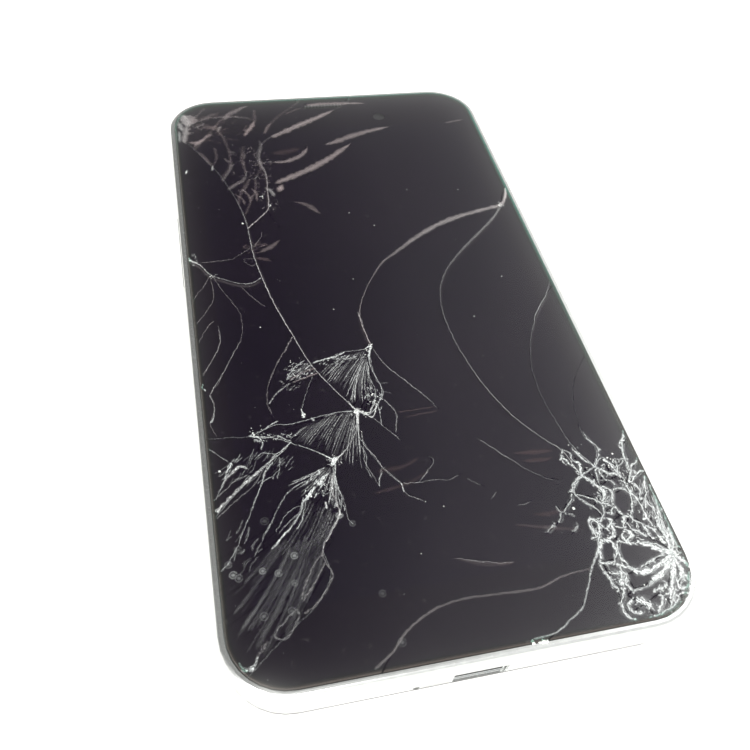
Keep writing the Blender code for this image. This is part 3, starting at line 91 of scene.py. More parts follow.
def maths(tree, operation, a, b, **settings):
    """The output of a node that works out one number from two."""
    return add_node(tree, "ShaderNodeMath", {0: a, 1: b}, operation=operation, **settings).outputs[0]


def noise(tree, place, scale, detail, **more):
    """A cloudy pattern between 0 and 1, of that scale in waves per unit of place, with detail finer
    layers."""
    inputs = {"Vector": place, "Scale": scale, "Detail": detail, **more}
    return add_node(tree, "ShaderNodeTexNoise", inputs).outputs["Fac"]


def rescaled(tree, value, seen=(0.0, 1.0), wanted=(0.0, 1.0)):
    """wanted[0] + (value - seen[0]) / (seen[1] - seen[0]) * (wanted[1] - wanted[0]), held inside wanted."""
    inputs = {"Value": value, "From Min": seen[0], "From Max": seen[1], "To Min": wanted[0],
              "To Max": wanted[1]}
    return add_node(tree, "ShaderNodeMapRange", inputs).outputs[0]


def hex_colour(text):
    """Screen colour to linear light: c / 12.92 below 0.04045, and ((c + 0.055) / 1.055) ** 2.4 above."""
    parts = np.array([int(text[i:i + 2], 16) for i in (1, 3, 5)]) / 255
    linear = np.where(parts <= 0.04045, parts / 12.92, ((parts + 0.055) / 1.055) ** 2.4)
    return (*linear.tolist(), 1.0)


def new_material(name):
    """An empty material and its tree, with no nodes in it."""
    material = bpy.data.materials.new(name)
    material.use_nodes = True
    material.node_tree.nodes.clear()
    return material, material.node_tree


def ramp(tree, factor, *stops):
    """A colour ramp through (place, colour) stops. A bare number as colour is a grey."""
    node = add_node(tree, "ShaderNodeValToRGB", {"Fac": factor})
    band = node.color_ramp
    while len(band.elements) < len(stops):
        band.elements.new(0.5)
    for element, (place, colour) in zip(band.elements, stops):
        element.position = place
        element.color = colour if isinstance(colour, tuple) else (colour, colour, colour, 1)
    return node.outputs["Color"]


def dress(names, material):
    """Gives measured solids a material, in place of the plain one that they came with."""
    for name in names:
        nodes[name].data.materials.clear()
        nodes[name].data.materials.append(material)


print("a screen grey of #808080 is", round(hex_colour("#808080")[0], 3), "in linear light")

# %% [markdown]
# ## Floor and light
# The photograph has no visible surroundings: phone on white, far too bright for the lens. A pale matt floor
# under a strong soft light gives that. What the dark glass mirrors is another matter: it is nearly black at
# the left and veiled with grey at the right, as if a black cloth stood behind the phone and a soft box at its
# right. The sky is therefore graded by direction: the closer to the dark direction, the dimmer, and dimmer
# again far behind the phone.

# %% Floor
FLOOR = 3.0
FLOOR_CELLS = 24
row = FLOOR_CELLS + 1
steps = np.linspace(-FLOOR, FLOOR, row)
fx, fy = np.meshgrid(steps, steps, indexing="ij")
floor_points = np.stack([fx, fy, np.zeros_like(fx)], axis=-1).reshape(-1, 3)
corner = (np.arange(FLOOR_CELLS)[:, None] * row + np.arange(FLOOR_CELLS)[None, :]).ravel()
floor_quads = np.stack([corner, corner + row, corner + row + 1, corner + 1], axis=1)
floor_mesh = bpy.data.meshes.new("floor")
floor_mesh.from_pydata(floor_points.tolist(), [], floor_quads.tolist())
floor = bpy.data.objects.new("floor", floor_mesh)
bpy.context.scene.collection.objects.link(floor)
floor_material, tree = new_material("matt white table paint")
place = add_node(tree, "ShaderNodeTexCoord").outputs["Object"]
mottle = noise(tree, place, 9.0, 3.0)
paint = ramp(tree, mottle, (0.3, hex_colour("#f1f1ef")), (0.7, hex_colour("#f7f7f6")))
surface = add_node(tree, "ShaderNodeBsdfPrincipled", {"Base Color": paint, "Roughness": 0.7})
add_node(tree, "ShaderNodeOutputMaterial", {"Surface": surface.outputs[0]})
floor_mesh.materials.append(floor_material)
print("floor is", 2 * FLOOR, "m across")

# %% Sky and lamp
DARK_WAY = (-0.503, 0.503, 0.704)
SKY_STRENGTH = 3.75
world = bpy.data.worlds.new("studio")
world.use_nodes = True
bpy.context.scene.world = world
tree = world.node_tree
tree.nodes.clear()
way = add_node(tree, "ShaderNodeTexCoord").outputs["Generated"]
nearness = add_node(tree, "ShaderNodeVectorMath", {0: way, 1: DARK_WAY},
                    operation="DOT_PRODUCT").outputs["Value"]
# Each stop is the cosine of the angle to the dark direction, and the sky's brightness there.
sky = ramp(tree, nearness, (0.0, 0.34), (0.30, 0.55), (0.45, 0.90), (0.53, 0.47), (0.58, 0.30), (0.64, 0.235),
           (0.70, 0.20), (0.74, 0.14), (0.78, 0.10), (0.83, 0.05), (0.87, 0.025), (0.92, 0.015))
# Each stop is the share of the way that points to the far end, and what is left of the light.
away = add_node(tree, "ShaderNodeSeparateXYZ", {"Vector": way}).outputs["Y"]
cloth = ramp(tree, away, (0.0, 0.80), (0.30, 0.98), (0.40, 0.90), (0.45, 0.82), (0.57, 0.78), (0.67, 0.67),
             (0.78, 0.48))
sky = add_node(tree, "ShaderNodeVectorMath", {0: sky, 1: cloth}, operation="MULTIPLY").outputs[0]
back = add_node(tree, "ShaderNodeBackground", {"Color": sky, "Strength": SKY_STRENGTH})
add_node(tree, "ShaderNodeOutputWorld", {"Surface": back.outputs[0]})
sun_data = bpy.data.lights.new("soft lamp", "SUN")
sun_data.energy = 3.4
sun_data.angle = math.radians(38)
sun_data.color = hex_colour("#fffdf9")[:3]
sun = bpy.data.objects.new("soft lamp", sun_data)
sun.rotation_euler = (math.radians(34), math.radians(-22), 0)
bpy.context.scene.collection.objects.link(sun)
bpy.context.scene.view_settings.view_transform = "Standard"
print("lamp of", sun_data.energy, "W/m2, sky up to", SKY_STRENGTH)

# %% [markdown]
# ## Surfaces from numbers
# Every new piece is a grid of points worked out at once as an array, then handed to a mesh. A ring closes on
# itself along the path, across it, or both.

# %% From a grid of points to a piece
def grid_faces(rows, columns, close_rows=False, close_columns=False):
    """Quads between neighbours on a grid whose points are numbered row by row."""
    i = np.arange(rows if close_rows else rows - 1)
    j = np.arange(columns if close_columns else columns - 1)
    i, j = np.meshgrid(i, j, indexing="ij")
    i2, j2 = (i + 1) % rows, (j + 1) % columns
    quads = np.stack([i * columns + j, i2 * columns + j, i2 * columns + j2, i * columns + j2], axis=-1)
    return quads.reshape(-1, 4)


def make_piece(name, points, faces, material, body="phone", smooth=True):
    """An object of those points and faces that rides on a body of the phone."""
    mesh = bpy.data.meshes.new(name)
    mesh.from_pydata(np.asarray(points).reshape(-1, 3).tolist(), [], [list(face) for face in faces])
    mesh.polygons.foreach_set("use_smooth", np.full(len(mesh.polygons), smooth))
    mesh.materials.append(material)
    item = bpy.data.objects.new(name, mesh)
    bpy.context.scene.collection.objects.link(item)
    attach(item, body)
    return item


def outline(half_width, half_length, radius, corner_steps=24):
    """Points round a rectangle with round corners, anticlockwise from the right side's far end. Each corner
    is its middle plus radius times (cos, sin) of a turn that runs through a quarter circle."""
    turn = np.radians(np.linspace(0, 90, corner_steps + 1))[None, :] + np.radians([0, 90, 180, 270])[:, None]
    middle_x = np.array([1, -1, -1, 1])[:, None] * (half_width - radius)
    middle_y = np.array([1, 1, -1, -1])[:, None] * (half_length - radius)
    points = np.stack([middle_x + radius * np.cos(turn), middle_y + radius * np.sin(turn)], axis=-1)
    return points.reshape(-1, 2)


TURN_STEPS = 48


def revolved(profile, centre):
    """Points of a profile of (radius, z) turned about the upright line through centre."""
    turn = np.linspace(0, 2 * np.pi, TURN_STEPS, endpoint=False)
    profile = np.asarray(profile)
    x = centre[0] + profile[:, 0, None] * np.cos(turn)
    y = centre[1] + profile[:, 0, None] * np.sin(turn)
    z = np.broadcast_to(profile[:, 1, None], x.shape)
    return np.stack([x, y, z], axis=-1)


print("a ring of 100 by 8 points has", len(grid_faces(100, 8, True, True)), "faces")

# %% [markdown]
# ## Finishes for hard parts
# Metal, moulded plastic, lacquered board and film differ in colour, gloss, and the size and direction of
# their grain. One recipe covers them: two tones mixed by a soft cloud, fine grain that moves the gloss and
# dents the surface a little, a second, long and thin grain for scratches, and a rubbed tone along the edges.
# The edge is found by comparing the surface's own direction with one averaged over a small radius.

# %% The recipe for a hard finish
def hard_finish(name, tone, shade, rubbed, grain=0.3 * MM, gloss=(0.3, 0.45), metallic=0.0, dents=0.02,
                stretch=(1.0, 1.0, 1.0), edge=0.12 * MM):
    """A material from two tones and a rubbed one. grain is its fine pattern's size and edge the worn
    width."""
    material, tree = new_material(name)
    place = add_node(tree, "ShaderNodeTexCoord").outputs["Object"]
    drawn = add_node(tree, "ShaderNodeMapping", {"Vector": place, "Scale": stretch}).outputs[0]
    cloud = noise(tree, place, 0.09 / grain, 4.0)
    fine = noise(tree, drawn, 1 / grain, 5.0)
    hair = add_node(tree, "ShaderNodeMapping", {"Vector": place, "Scale": (1.0, 26.0, 26.0),
                                                "Rotation": (0.3, 0.2, 0.7)}).outputs[0]
    scratch = noise(tree, hair, 60.0, 2.0)
    scratch = ramp(tree, scratch, (0.66, 0.0), (0.70, 1.0))
    colour = ramp(tree, cloud, (0.3, hex_colour(shade)), (0.7, hex_colour(tone)))
    normal = add_node(tree, "ShaderNodeNewGeometry").outputs["Normal"]
    rounded = add_node(tree, "ShaderNodeBevel", {"Radius": edge}, samples=4).outputs["Normal"]
    bend = add_node(tree, "ShaderNodeVectorMath", {0: normal, 1: rounded},
                    operation="DOT_PRODUCT").outputs["Value"]
    worn = ramp(tree, bend, (0.80, 1.0), (0.97, 0.0))
    broken = maths(tree, "MULTIPLY", worn, fine)
    blend = add_node(tree, "ShaderNodeMixRGB", {"Fac": broken, "Color1": colour,
                                                "Color2": hex_colour(rubbed)})
    marked = add_node(tree, "ShaderNodeMixRGB", {"Fac": 0.25, "Color1": blend.outputs[0], "Color2": scratch},
                      blend_type="SOFT_LIGHT")
    rough = rescaled(tree, fine, (0.3, 0.7), gloss)
    bump = add_node(tree, "ShaderNodeBump", {"Height": fine, "Strength": 0.6,
                                             "Distance": dents * MM}).outputs[0]
    shader = add_node(tree, "ShaderNodeBsdfPrincipled", {
        "Base Color": marked.outputs[0], "Metallic": metallic, "Roughness": rough, "Normal": bump})
    add_node(tree, "ShaderNodeOutputMaterial", {"Surface": shader.outputs[0]})
    return material


print("recipe ready")

# %% [markdown]
# ## Metal and back cover
# The light rim round the glass is the edge of a blasted and anodised aluminium frame. It is cut from one
# piece, so keys and card tray match it. The back cover is dark polycarbonate with a high gloss and hair
# scratches. The solids already have the right shape, but their edges are knife sharp, and a real edge always
# catches a line of light. A merged copy with a fine bevel gives each edge its highlight.

# %% A copy with rounded edges
SHARP = math.radians(34)


def rounded_copy(node, material, body="phone", width=0.08 * MM, segments=2):
    """A copy of a solid: doubles merged, flat areas made whole, then each sharp edge rounded by width."""
    shape = bmesh.new()
    shape.from_mesh(nodes[node].data)
    bmesh.ops.remove_doubles(shape, verts=shape.verts, dist=0.0005 * MM)
    bmesh.ops.dissolve_limit(shape, angle_limit=math.radians(0.5), verts=shape.verts, edges=shape.edges)
    mesh = bpy.data.meshes.new(node + "_rounded")
    shape.to_mesh(mesh)
    shape.free()
    mesh.polygons.foreach_set("use_smooth", np.ones(len(mesh.polygons), bool))
    mesh.set_sharp_from_angle(angle=SHARP)
    mesh.materials.clear()
    mesh.materials.append(material)
    item = bpy.data.objects.new(node + "_rounded", mesh)
    bpy.context.scene.collection.objects.link(item)
    edge = item.modifiers.new("rounded edges", "BEVEL")
    edge.width = width
    edge.segments = segments
    edge.limit_method = "ANGLE"
    edge.angle_limit = SHARP
    edge.harden_normals = True
    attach(item, body)
    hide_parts(node)
    return item


frame_metal = hard_finish("blasted anodised aluminium", "#d7d9d7", "#cdcfcd", "#ecedec", grain=0.12 * MM,
                          gloss=(0.18, 0.28), metallic=0.87, dents=0.001)
cover_plastic = hard_finish("glossy dark polycarbonate", "#232327", "#1b1b1f", "#4a4a50", grain=0.5 * MM,
                            gloss=(0.10, 0.2), dents=0.001)
rounded_copy("side_frame", frame_metal)
rounded_copy("back_cover", cover_plastic)
rounded_copy("power_button", frame_metal, "power_button")
rounded_copy("volume_rocker", frame_metal, "volume_rocker")
rounded_copy("sim_tray", frame_metal, "sim_tray")
print("rim, cover, keys and tray have rounded edges")

# %% [markdown]
# ## What lies inside
# The inner parts show only through ports, through the camera window or when the tray slides out, yet each has
# its own finish: satin steel cans, green lacquered boards, amber film leads, a wrapped battery pouch, white
# reflector film, black moulded plastic and foam.

# %% Finishes of the inner parts
steel = hard_finish("rolled satin steel", "#a4a6a8", "#909294", "#c9cacb", grain=0.2 * MM, gloss=(0.25, 0.4),
                    metallic=1.0, dents=0.004, stretch=(1.0, 12.0, 1.0))
board_lacquer = hard_finish("green lacquered board", "#1d4a33", "#163a29", "#3f6b54", grain=0.4 * MM,
                            gloss=(0.3, 0.5), dents=0.02)
amber_film = hard_finish("amber polyimide film", "#b8812f", "#9a6820", "#c99a55", grain=0.6 * MM,
                         gloss=(0.2, 0.35), dents=0.01)
black_plastic = hard_finish("black moulded plastic", "#26262a", "#1c1c20", "#3a3a40", grain=0.15 * MM,
                            gloss=(0.4, 0.6), dents=0.02)
pouch_wrap = hard_finish("wrapped battery pouch", "#3a3b40", "#2e2f34", "#55565c", grain=1.2 * MM,
                         gloss=(0.35, 0.5), dents=0.05)
reflector = hard_finish("white reflector film", "#e6e8ea", "#d8dbde", "#f4f4f4", grain=0.8 * MM,
                        gloss=(0.3, 0.5), dents=0.01)
plated = hard_finish("nickel plated screw steel", "#8c8c90", "#77777b", "#b5b5b8", grain=0.1 * MM,
                     gloss=(0.22, 0.38), metallic=1.0, dents=0.003)
card_plastic = hard_finish("matt white card plastic", "#e2e1dc", "#d6d5d0", "#efeeea", grain=0.3 * MM,
                           gloss=(0.4, 0.55), dents=0.01)
tape_foam = hard_finish("black acrylic foam tape", "#17171a", "#0f0f12", "#242428", grain=0.1 * MM,
                        gloss=(0.6, 0.8), dents=0.03)
phosphor = hard_finish("yellow phosphor under silicone", "#d9c463", "#c8b04c", "#e6d887", grain=0.2 * MM,
                       gloss=(0.3, 0.45), dents=0.01)
panel_glass = hard_finish("dark display panel", "#101015", "#0c0c10", "#1c1c22", grain=0.8 * MM,
                          gloss=(0.08, 0.15), dents=0.001)
dress(["mid_plate", "main_shield", "radio_shield", "microphone", "vibration_motor", "sim_reader"], steel)
polished = hard_finish("polished drawn steel", "#d4d5d6", "#c6c8ca", "#ececec", grain=0.15 * MM,
                       gloss=(0.08, 0.16), metallic=1.0, dents=0.001)
dress(["usb_socket", "camera_ring"], polished)
dress(["main_board", "lower_board"], board_lacquer)
dress(["display_flex", "battery_lead", "main_flex"], amber_film)
dress(["headphone_jack", "loudspeaker", "earpiece", "rear_camera", "front_camera", "proximity_sensor",
       "power_switch", "volume_down_switch", "volume_up_switch"], black_plastic)
dress(["battery"], pouch_wrap)
dress(["backlight"], reflector)
dress([name for name in nodes if name.startswith("screw_")], plated)
dress(["sim_card"], card_plastic)
dress(["glass_tape"], tape_foam)
dress(["flash_led"], phosphor)
dress(["display_panel"], panel_glass)
print("finishes so far:", len(bpy.data.materials))

# %% [markdown]
# ## Camera lenses
# Behind the clear window of the rear camera sits a black stepped barrel with a small, strongly curved lens.
# The reflection of its thin coating, violet from straight ahead and green at a slant, is painted into the
# lens's colour by the angle of view, a painted reflection, which is what makes a lens look like one.

# %% Lens and baffle
coated, tree = new_material("coated camera lens glass")
slant = add_node(tree, "ShaderNodeLayerWeight", {"Blend": 0.4}).outputs["Facing"]
# Painted reflection: the coating's violet and green are set as the lens colour by the angle of view.
painted_coating_reflection = ramp(tree, slant, (0.1, hex_colour("#1b1433")), (0.45, hex_colour("#20304a")),
             (0.8, hex_colour("#16392c")))
place = add_node(tree, "ShaderNodeTexCoord").outputs["Object"]
mist = noise(tree, place, 1500.0, 2.0)
rough = rescaled(tree, mist, wanted=(0.02, 0.08))
shader = add_node(tree, "ShaderNodeBsdfPrincipled", {"Base Color": painted_coating_reflection, "Roughness": rough, "IOR": 1.8})
add_node(tree, "ShaderNodeOutputMaterial", {"Surface": shader.outputs[0]})
baffle = hard_finish("matt black lens baffle", "#18181b", "#101012", "#2c2c30", grain=0.1 * MM,
                     gloss=(0.5, 0.7), dents=0.02)


def lens_unit(name, middle, seat, rise, lens_radius, barrel_radius):
    """A lens and its baffle, looking down. The dome is z = seat - rise (1 - (r / R)^2); the baffle steps
    outwards."""
    r = np.linspace(0, 1, 14)
    dome = np.column_stack([lens_radius * r[::-1], seat - rise * (1 - r[::-1] ** 2)])
    lens = revolved(np.vstack([[(0, seat + 0.01 * MM), (lens_radius, seat + 0.01 * MM)], dome]), middle)
    make_piece(name + "_lens", lens, grid_faces(len(dome) + 2, TURN_STEPS, False, True), coated)
    steps = np.linspace(lens_radius, barrel_radius, 6)
    low = np.repeat(seat - rise * np.linspace(0.2, 0.9, 5), 2)
    profile = [(lens_radius, seat + 0.01 * MM), (barrel_radius, seat + 0.01 * MM)]
    profile += list(zip(np.repeat(steps, 2)[1:-1][::-1], low[::-1]))
    ring = revolved(profile, middle)
    make_piece(name + "_baffle", ring, grid_faces(len(profile), TURN_STEPS, True, True), baffle, smooth=False)
    print(name, "lens radius", round(lens_radius / MM, 2), "mm")


lens_unit("rear_camera", (-22.0 * MM, 51.0 * MM), seat=1.19 * MM, rise=0.24 * MM, lens_radius=1.3 * MM,
          barrel_radius=3.1 * MM)

# %% [markdown]
# ## Woven meshes
# The earpiece and the loudspeaker breathe through a fine steel weave. Two waves at right angles, one per
# thread, make the weave: where a thread passes over, it is high, and the same pattern paints it bright
# there and near black in the gaps between threads, a painted highlight and painted shade.

# %% Steel weave
WEAVE_SCALE = 420.0
weave, tree = new_material("fine steel weave")
place = add_node(tree, "ShaderNodeTexCoord").outputs["Object"]
threads = []
for axis in ("X", "Y"):
    wave = add_node(tree, "ShaderNodeTexWave", {"Vector": place, "Scale": WEAVE_SCALE}, bands_direction=axis)
    threads.append(wave.outputs["Fac"])
over = maths(tree, "MAXIMUM", threads[0], threads[1])
# Painted highlight and shade: the thread crests are coloured bright and the gaps between threads near black.
shade = ramp(tree, over, (0.45, hex_colour("#08080a")), (0.9, hex_colour("#6d6e70")))
bump = add_node(tree, "ShaderNodeBump", {"Height": over, "Strength": 0.8, "Distance": 0.04 * MM}).outputs[0]
shader = add_node(tree, "ShaderNodeBsdfPrincipled", {"Base Color": shade, "Metallic": 0.8, "Roughness": 0.4,
                                                     "Normal": bump})
add_node(tree, "ShaderNodeOutputMaterial", {"Surface": shader.outputs[0]})
dress(["earpiece_mesh", "speaker_mesh"], weave)
print("weave pitch", round(math.pi / (10 * WEAVE_SCALE) / MM, 2), "mm")

# %% [markdown]
# ## Clear glass
# Cover glass hides nothing: it adds a reflection that grows towards a grazing view, and lets the rest
# through. A mix of a transparent and a mirror-like shader, weighed by the Fresnel law, does that without the
# noise that light bent through a solid gives. Fingers and dust soften the mirror in patches, and the cut edge
# has the green of thick glass. Over the outermost half millimetre a painted glow stands in for the light that
# the cut edge catches: dim brown at the near end, green towards the far right. Inner faces get no second
# mirror, because the real layers are bonded.

# %% Glass material
def edge_depth(tree, place, half_width, half_length, radius):
    """How far outside a rounded rectangle a point lies, below zero inside: with q = |p| - (half size -
    radius), it is the length of q where q is positive, plus the larger part of q where both are negative,
    minus radius."""
    flat = add_node(tree, "ShaderNodeVectorMath", {0: place, 1: (1.0, 1.0, 0.0)},
                    operation="MULTIPLY").outputs[0]
    size = add_node(tree, "ShaderNodeVectorMath", {0: flat}, operation="ABSOLUTE").outputs[0]
    q = add_node(tree, "ShaderNodeVectorMath", {0: size, 1: (half_width - radius, half_length - radius, 0.0)},
                 operation="SUBTRACT").outputs[0]
    out = add_node(tree, "ShaderNodeVectorMath", {0: q, 1: (0.0, 0.0, 0.0)}, operation="MAXIMUM").outputs[0]
    away = add_node(tree, "ShaderNodeVectorMath", {0: out}, operation="LENGTH").outputs["Value"]
    parts = add_node(tree, "ShaderNodeSeparateXYZ", {0: q})
    larger = maths(tree, "MAXIMUM", parts.outputs["X"], parts.outputs["Y"])
    inside = maths(tree, "MINIMUM", larger, 0.0)
    total = maths(tree, "ADD", away, inside)
    return maths(tree, "SUBTRACT", total, radius)


HALF_WIDTH = 33.25 * MM
HALF_LENGTH = 64.3 * MM
GLASS_CORNER = 8.4 * MM
clear_glass, tree = new_material("clear chemically hardened glass")
place = add_node(tree, "ShaderNodeTexCoord").outputs["Object"]
depth = edge_depth(tree, place, HALF_WIDTH, HALF_LENGTH, GLASS_CORNER)
rim = rescaled(tree, depth, seen=(-0.7 * MM, 0.0))
tint = ramp(tree, rim, (0.0, 0.98), (1.0, hex_colour("#8fc4b4")))
smears = noise(tree, place, 70.0, 5.0, Distortion=1.2)
softness = rescaled(tree, smears, (0.35, 0.7), (0.03, 0.16))
law = add_node(tree, "ShaderNodeFresnel", {"IOR": 1.5}).outputs[0]
inner = add_node(tree, "ShaderNodeNewGeometry").outputs["Backfacing"]
outer = maths(tree, "SUBTRACT", 1.0, inner)
share = maths(tree, "MULTIPLY", law, outer)
through = add_node(tree, "ShaderNodeBsdfTransparent", {"Color": tint}).outputs[0]
mirror = add_node(tree, "ShaderNodeBsdfGlossy", {"Color": (1, 1, 1, 1), "Roughness": softness}).outputs[0]
pane = add_node(tree, "ShaderNodeMixShader", {0: share, 1: through, 2: mirror}).outputs[0]
lint = noise(tree, place, 900.0, 2.0)
lint = ramp(tree, lint, (0.64, 0.0), (0.8, 0.03))
lint = maths(tree, "MULTIPLY", lint, outer)
dusty = add_node(tree, "ShaderNodeBsdfDiffuse", {"Color": hex_colour("#b9b4b2")}).outputs[0]
pane = add_node(tree, "ShaderNodeMixShader", {0: lint, 1: pane, 2: dusty}).outputs[0]
# Painted light: over the outermost half millimetre a diffuse layer, dim brown at the near end and green
# towards the far right, stands in for light caught in the cut edge.
far = add_node(tree, "ShaderNodeVectorMath", {0: place, 1: (14.0, 13.0, 0.0)}, operation="DOT_PRODUCT")
painted_edge_glow_colour = ramp(tree, far.outputs["Value"], (0.1, hex_colour("#4b4440")), (0.75, hex_colour("#4f9a88")))
glow = ramp(tree, rim, (0.25, 0.0), (0.6, 0.2), (0.95, 0.75))
glow = maths(tree, "MULTIPLY", glow, outer)
painted_edge_light = add_node(tree, "ShaderNodeBsdfDiffuse", {"Color": painted_edge_glow_colour}).outputs[0]
pane = add_node(tree, "ShaderNodeMixShader", {0: glow, 1: pane, 2: painted_edge_light}).outputs[0]
add_node(tree, "ShaderNodeOutputMaterial", {"Surface": pane})
shards = [name for name in nodes if name.startswith("glass_") and name != "glass_tape"]
dress(shards + ["camera_window", "flash_lens"], clear_glass)
print(len(shards), "shards of clear glass")

# %% [markdown]
# ## Black layers under the glass
# A border of black ink is printed on the back of the glass, and the display is bonded inside it. Switched
# off, both are almost black, with a breath of purple from the display's coatings. They are thin sheets just
# under the glass, with a slot left free for the earpiece and a clear hole for the front camera.

# %% Ink border and display face
def sheet_with_window(outer, window, z, thickness):
    """A flat ring between two outlines of equally many points, as a closed band: bottom and top rows."""
    rows = [np.column_stack([line, np.full(len(line), height)])
            for line, height in ((outer, z), (window, z), (window, z + thickness), (outer, z + thickness))]
    return np.stack(rows)


def black_layer(name, tone, shade, gloss, openings=()):
    """A nearly black, smooth coat with the faintest cloud in it and grain too fine to see singly. Openings
    are rounded rectangles (middle, half width, half length, radius) left clear."""
    material, tree = new_material(name)
    place = add_node(tree, "ShaderNodeTexCoord").outputs["Object"]
    cloud = noise(tree, place, 35.0, 3.0)
    grain = noise(tree, place, 5000.0, 1.0)
    colour = ramp(tree, cloud, (0.35, hex_colour(shade)), (0.65, hex_colour(tone)))
    rough = rescaled(tree, grain, wanted=(gloss, gloss + 0.1))
    shader = add_node(tree, "ShaderNodeBsdfPrincipled", {"Base Color": colour, "Roughness": rough,
                                                         "Specular IOR Level": 0.05})
    for k, (middle, half_width, half_length, radius) in enumerate(openings):
        from_middle = add_node(tree, "ShaderNodeVectorMath", {0: place, 1: (*middle, 0.0)},
                               operation="SUBTRACT")
        depth = edge_depth(tree, from_middle.outputs[0], half_width, half_length, radius)
        solid = maths(tree, "GREATER_THAN", depth, 0.0)
        if k:
            solid = maths(tree, "MULTIPLY", solid, before)
        before = solid
    if openings:
        tree.links.new(before, shader.inputs["Alpha"])
    add_node(tree, "ShaderNodeOutputMaterial", {"Surface": shader.outputs[0]})
    return material


EARPIECE_SLOT = ((0.0, 61.9 * MM), 4.5 * MM, 0.65 * MM, 0.65 * MM)
FRONT_CAMERA_HOLE = ((12.0 * MM, 57.0 * MM), 1.3 * MM, 1.3 * MM, 1.3 * MM)
ink = black_layer("black ink on the back of the glass", "#140d18", "#110a16", 0.35,
                  [EARPIECE_SLOT, FRONT_CAMERA_HOLE])
display_film = black_layer("dark display film", "#140d1a", "#110b18", 0.25)
INK_Z = 8.165 * MM
INK_THICKNESS = 0.02 * MM
FILM_THICKNESS = 0.015 * MM
INK_MARGIN = 0.25 * MM
border = outline(HALF_WIDTH - INK_MARGIN, HALF_LENGTH - INK_MARGIN, GLASS_CORNER - INK_MARGIN)
window = outline(29.2 * MM, 53.6 * MM, 0.6 * MM)
ring = sheet_with_window(border, window, INK_Z, INK_THICKNESS)
ring_faces = grid_faces(4, len(border), True, True)
make_piece("ink_border", ring, ring_faces, ink, smooth=False)
film_points = np.concatenate([np.column_stack([window, np.full(len(window), z)])
                              for z in (INK_Z, INK_Z + FILM_THICKNESS)])
film_faces = [list(range(len(window)))[::-1], list(range(len(window), 2 * len(window)))]
film_faces += grid_faces(2, len(window), False, True)[:, ::-1].tolist()
make_piece("display_face", film_points, film_faces, display_film, smooth=False)
print("ink border", len(ring_faces), "faces; display face", len(film_faces))

# %% [markdown]
# ## How cracks look
# A crack in clear glass is an air gap. Seen from above it is a thin bright line where its crushed lips
# scatter light, dotted where grains fell out, and beside it the slanted broken face shows through the glass
# as a soft, dim band, painted warm or grey as a painted reflection of what it mirrors. Both are ribbons laid
# along the crack, just under the surface, with five numbers at each point: how far along, how far across,
# how strong, how warm the painted reflection is and how dotted.

# %% Ribbon along a crack
chance = np.random.default_rng(11)
STEP = 0.16 * MM
KNOT_STEP = 0.45 * MM
RUN_SHIFT = 900
ACROSS = 5
TIP_WIDTH = 0.35
# Heights in mm. The glass ends at 9.0, and each kind of strip has its own height below that.
TOP = {"lip": 8.992, "spur": 8.9915, "seam": 8.991, "fine crack": 8.990, "grain": 8.99, "splinter": 8.989,
       "halo": 8.988, "strand": 8.986, "crushed": 8.984, "broken face": 8.98, "pit rim": 8.97, "pit": 8.965,
       "band": 8.94}
FOOT = {"broken face": 8.25, "band": 8.7}


def smooth_line(points, roundness=1.0):
    """Points a step apart on a Catmull-Rom curve: between p1 and p2 it is half of 2 p1 + (p2 - p0) t
    + (2 p0 - 5 p1 + 4 p2 - p3) t^2 + (3 p1 - p0 - 3 p2 + p3) t^3. A roundness below 1 draws it in towards the
    straight lines from point to point."""
    p = np.asarray(points, float)
    p = np.vstack([2 * p[0] - p[1], p, 2 * p[-1] - p[-2]])
    spans = len(p) - 3
    t = np.linspace(0, spans, 16 * spans + 1)
    i = np.minimum(t.astype(int), spans - 1)
    f = (t - i)[:, None]
    a, b, c, d = p[i], p[i + 1], p[i + 2], p[i + 3]
    curve = 0.5 * (2 * b + (c - a) * f + (2 * a - 5 * b + 4 * c - d) * f ** 2
                   + (3 * b - a - 3 * c + d) * f ** 3)
    curve = roundness * curve + (1 - roundness) * (b + (c - b) * f)
    run = np.concatenate([[0], np.cumsum(np.linalg.norm(np.diff(curve, axis=0), axis=1))])
    even = np.linspace(0, run[-1], max(int(run[-1] / STEP), 3) + 1)
    return np.column_stack([np.interp(even, run, curve[:, 0]), np.interp(even, run, curve[:, 1])]), even


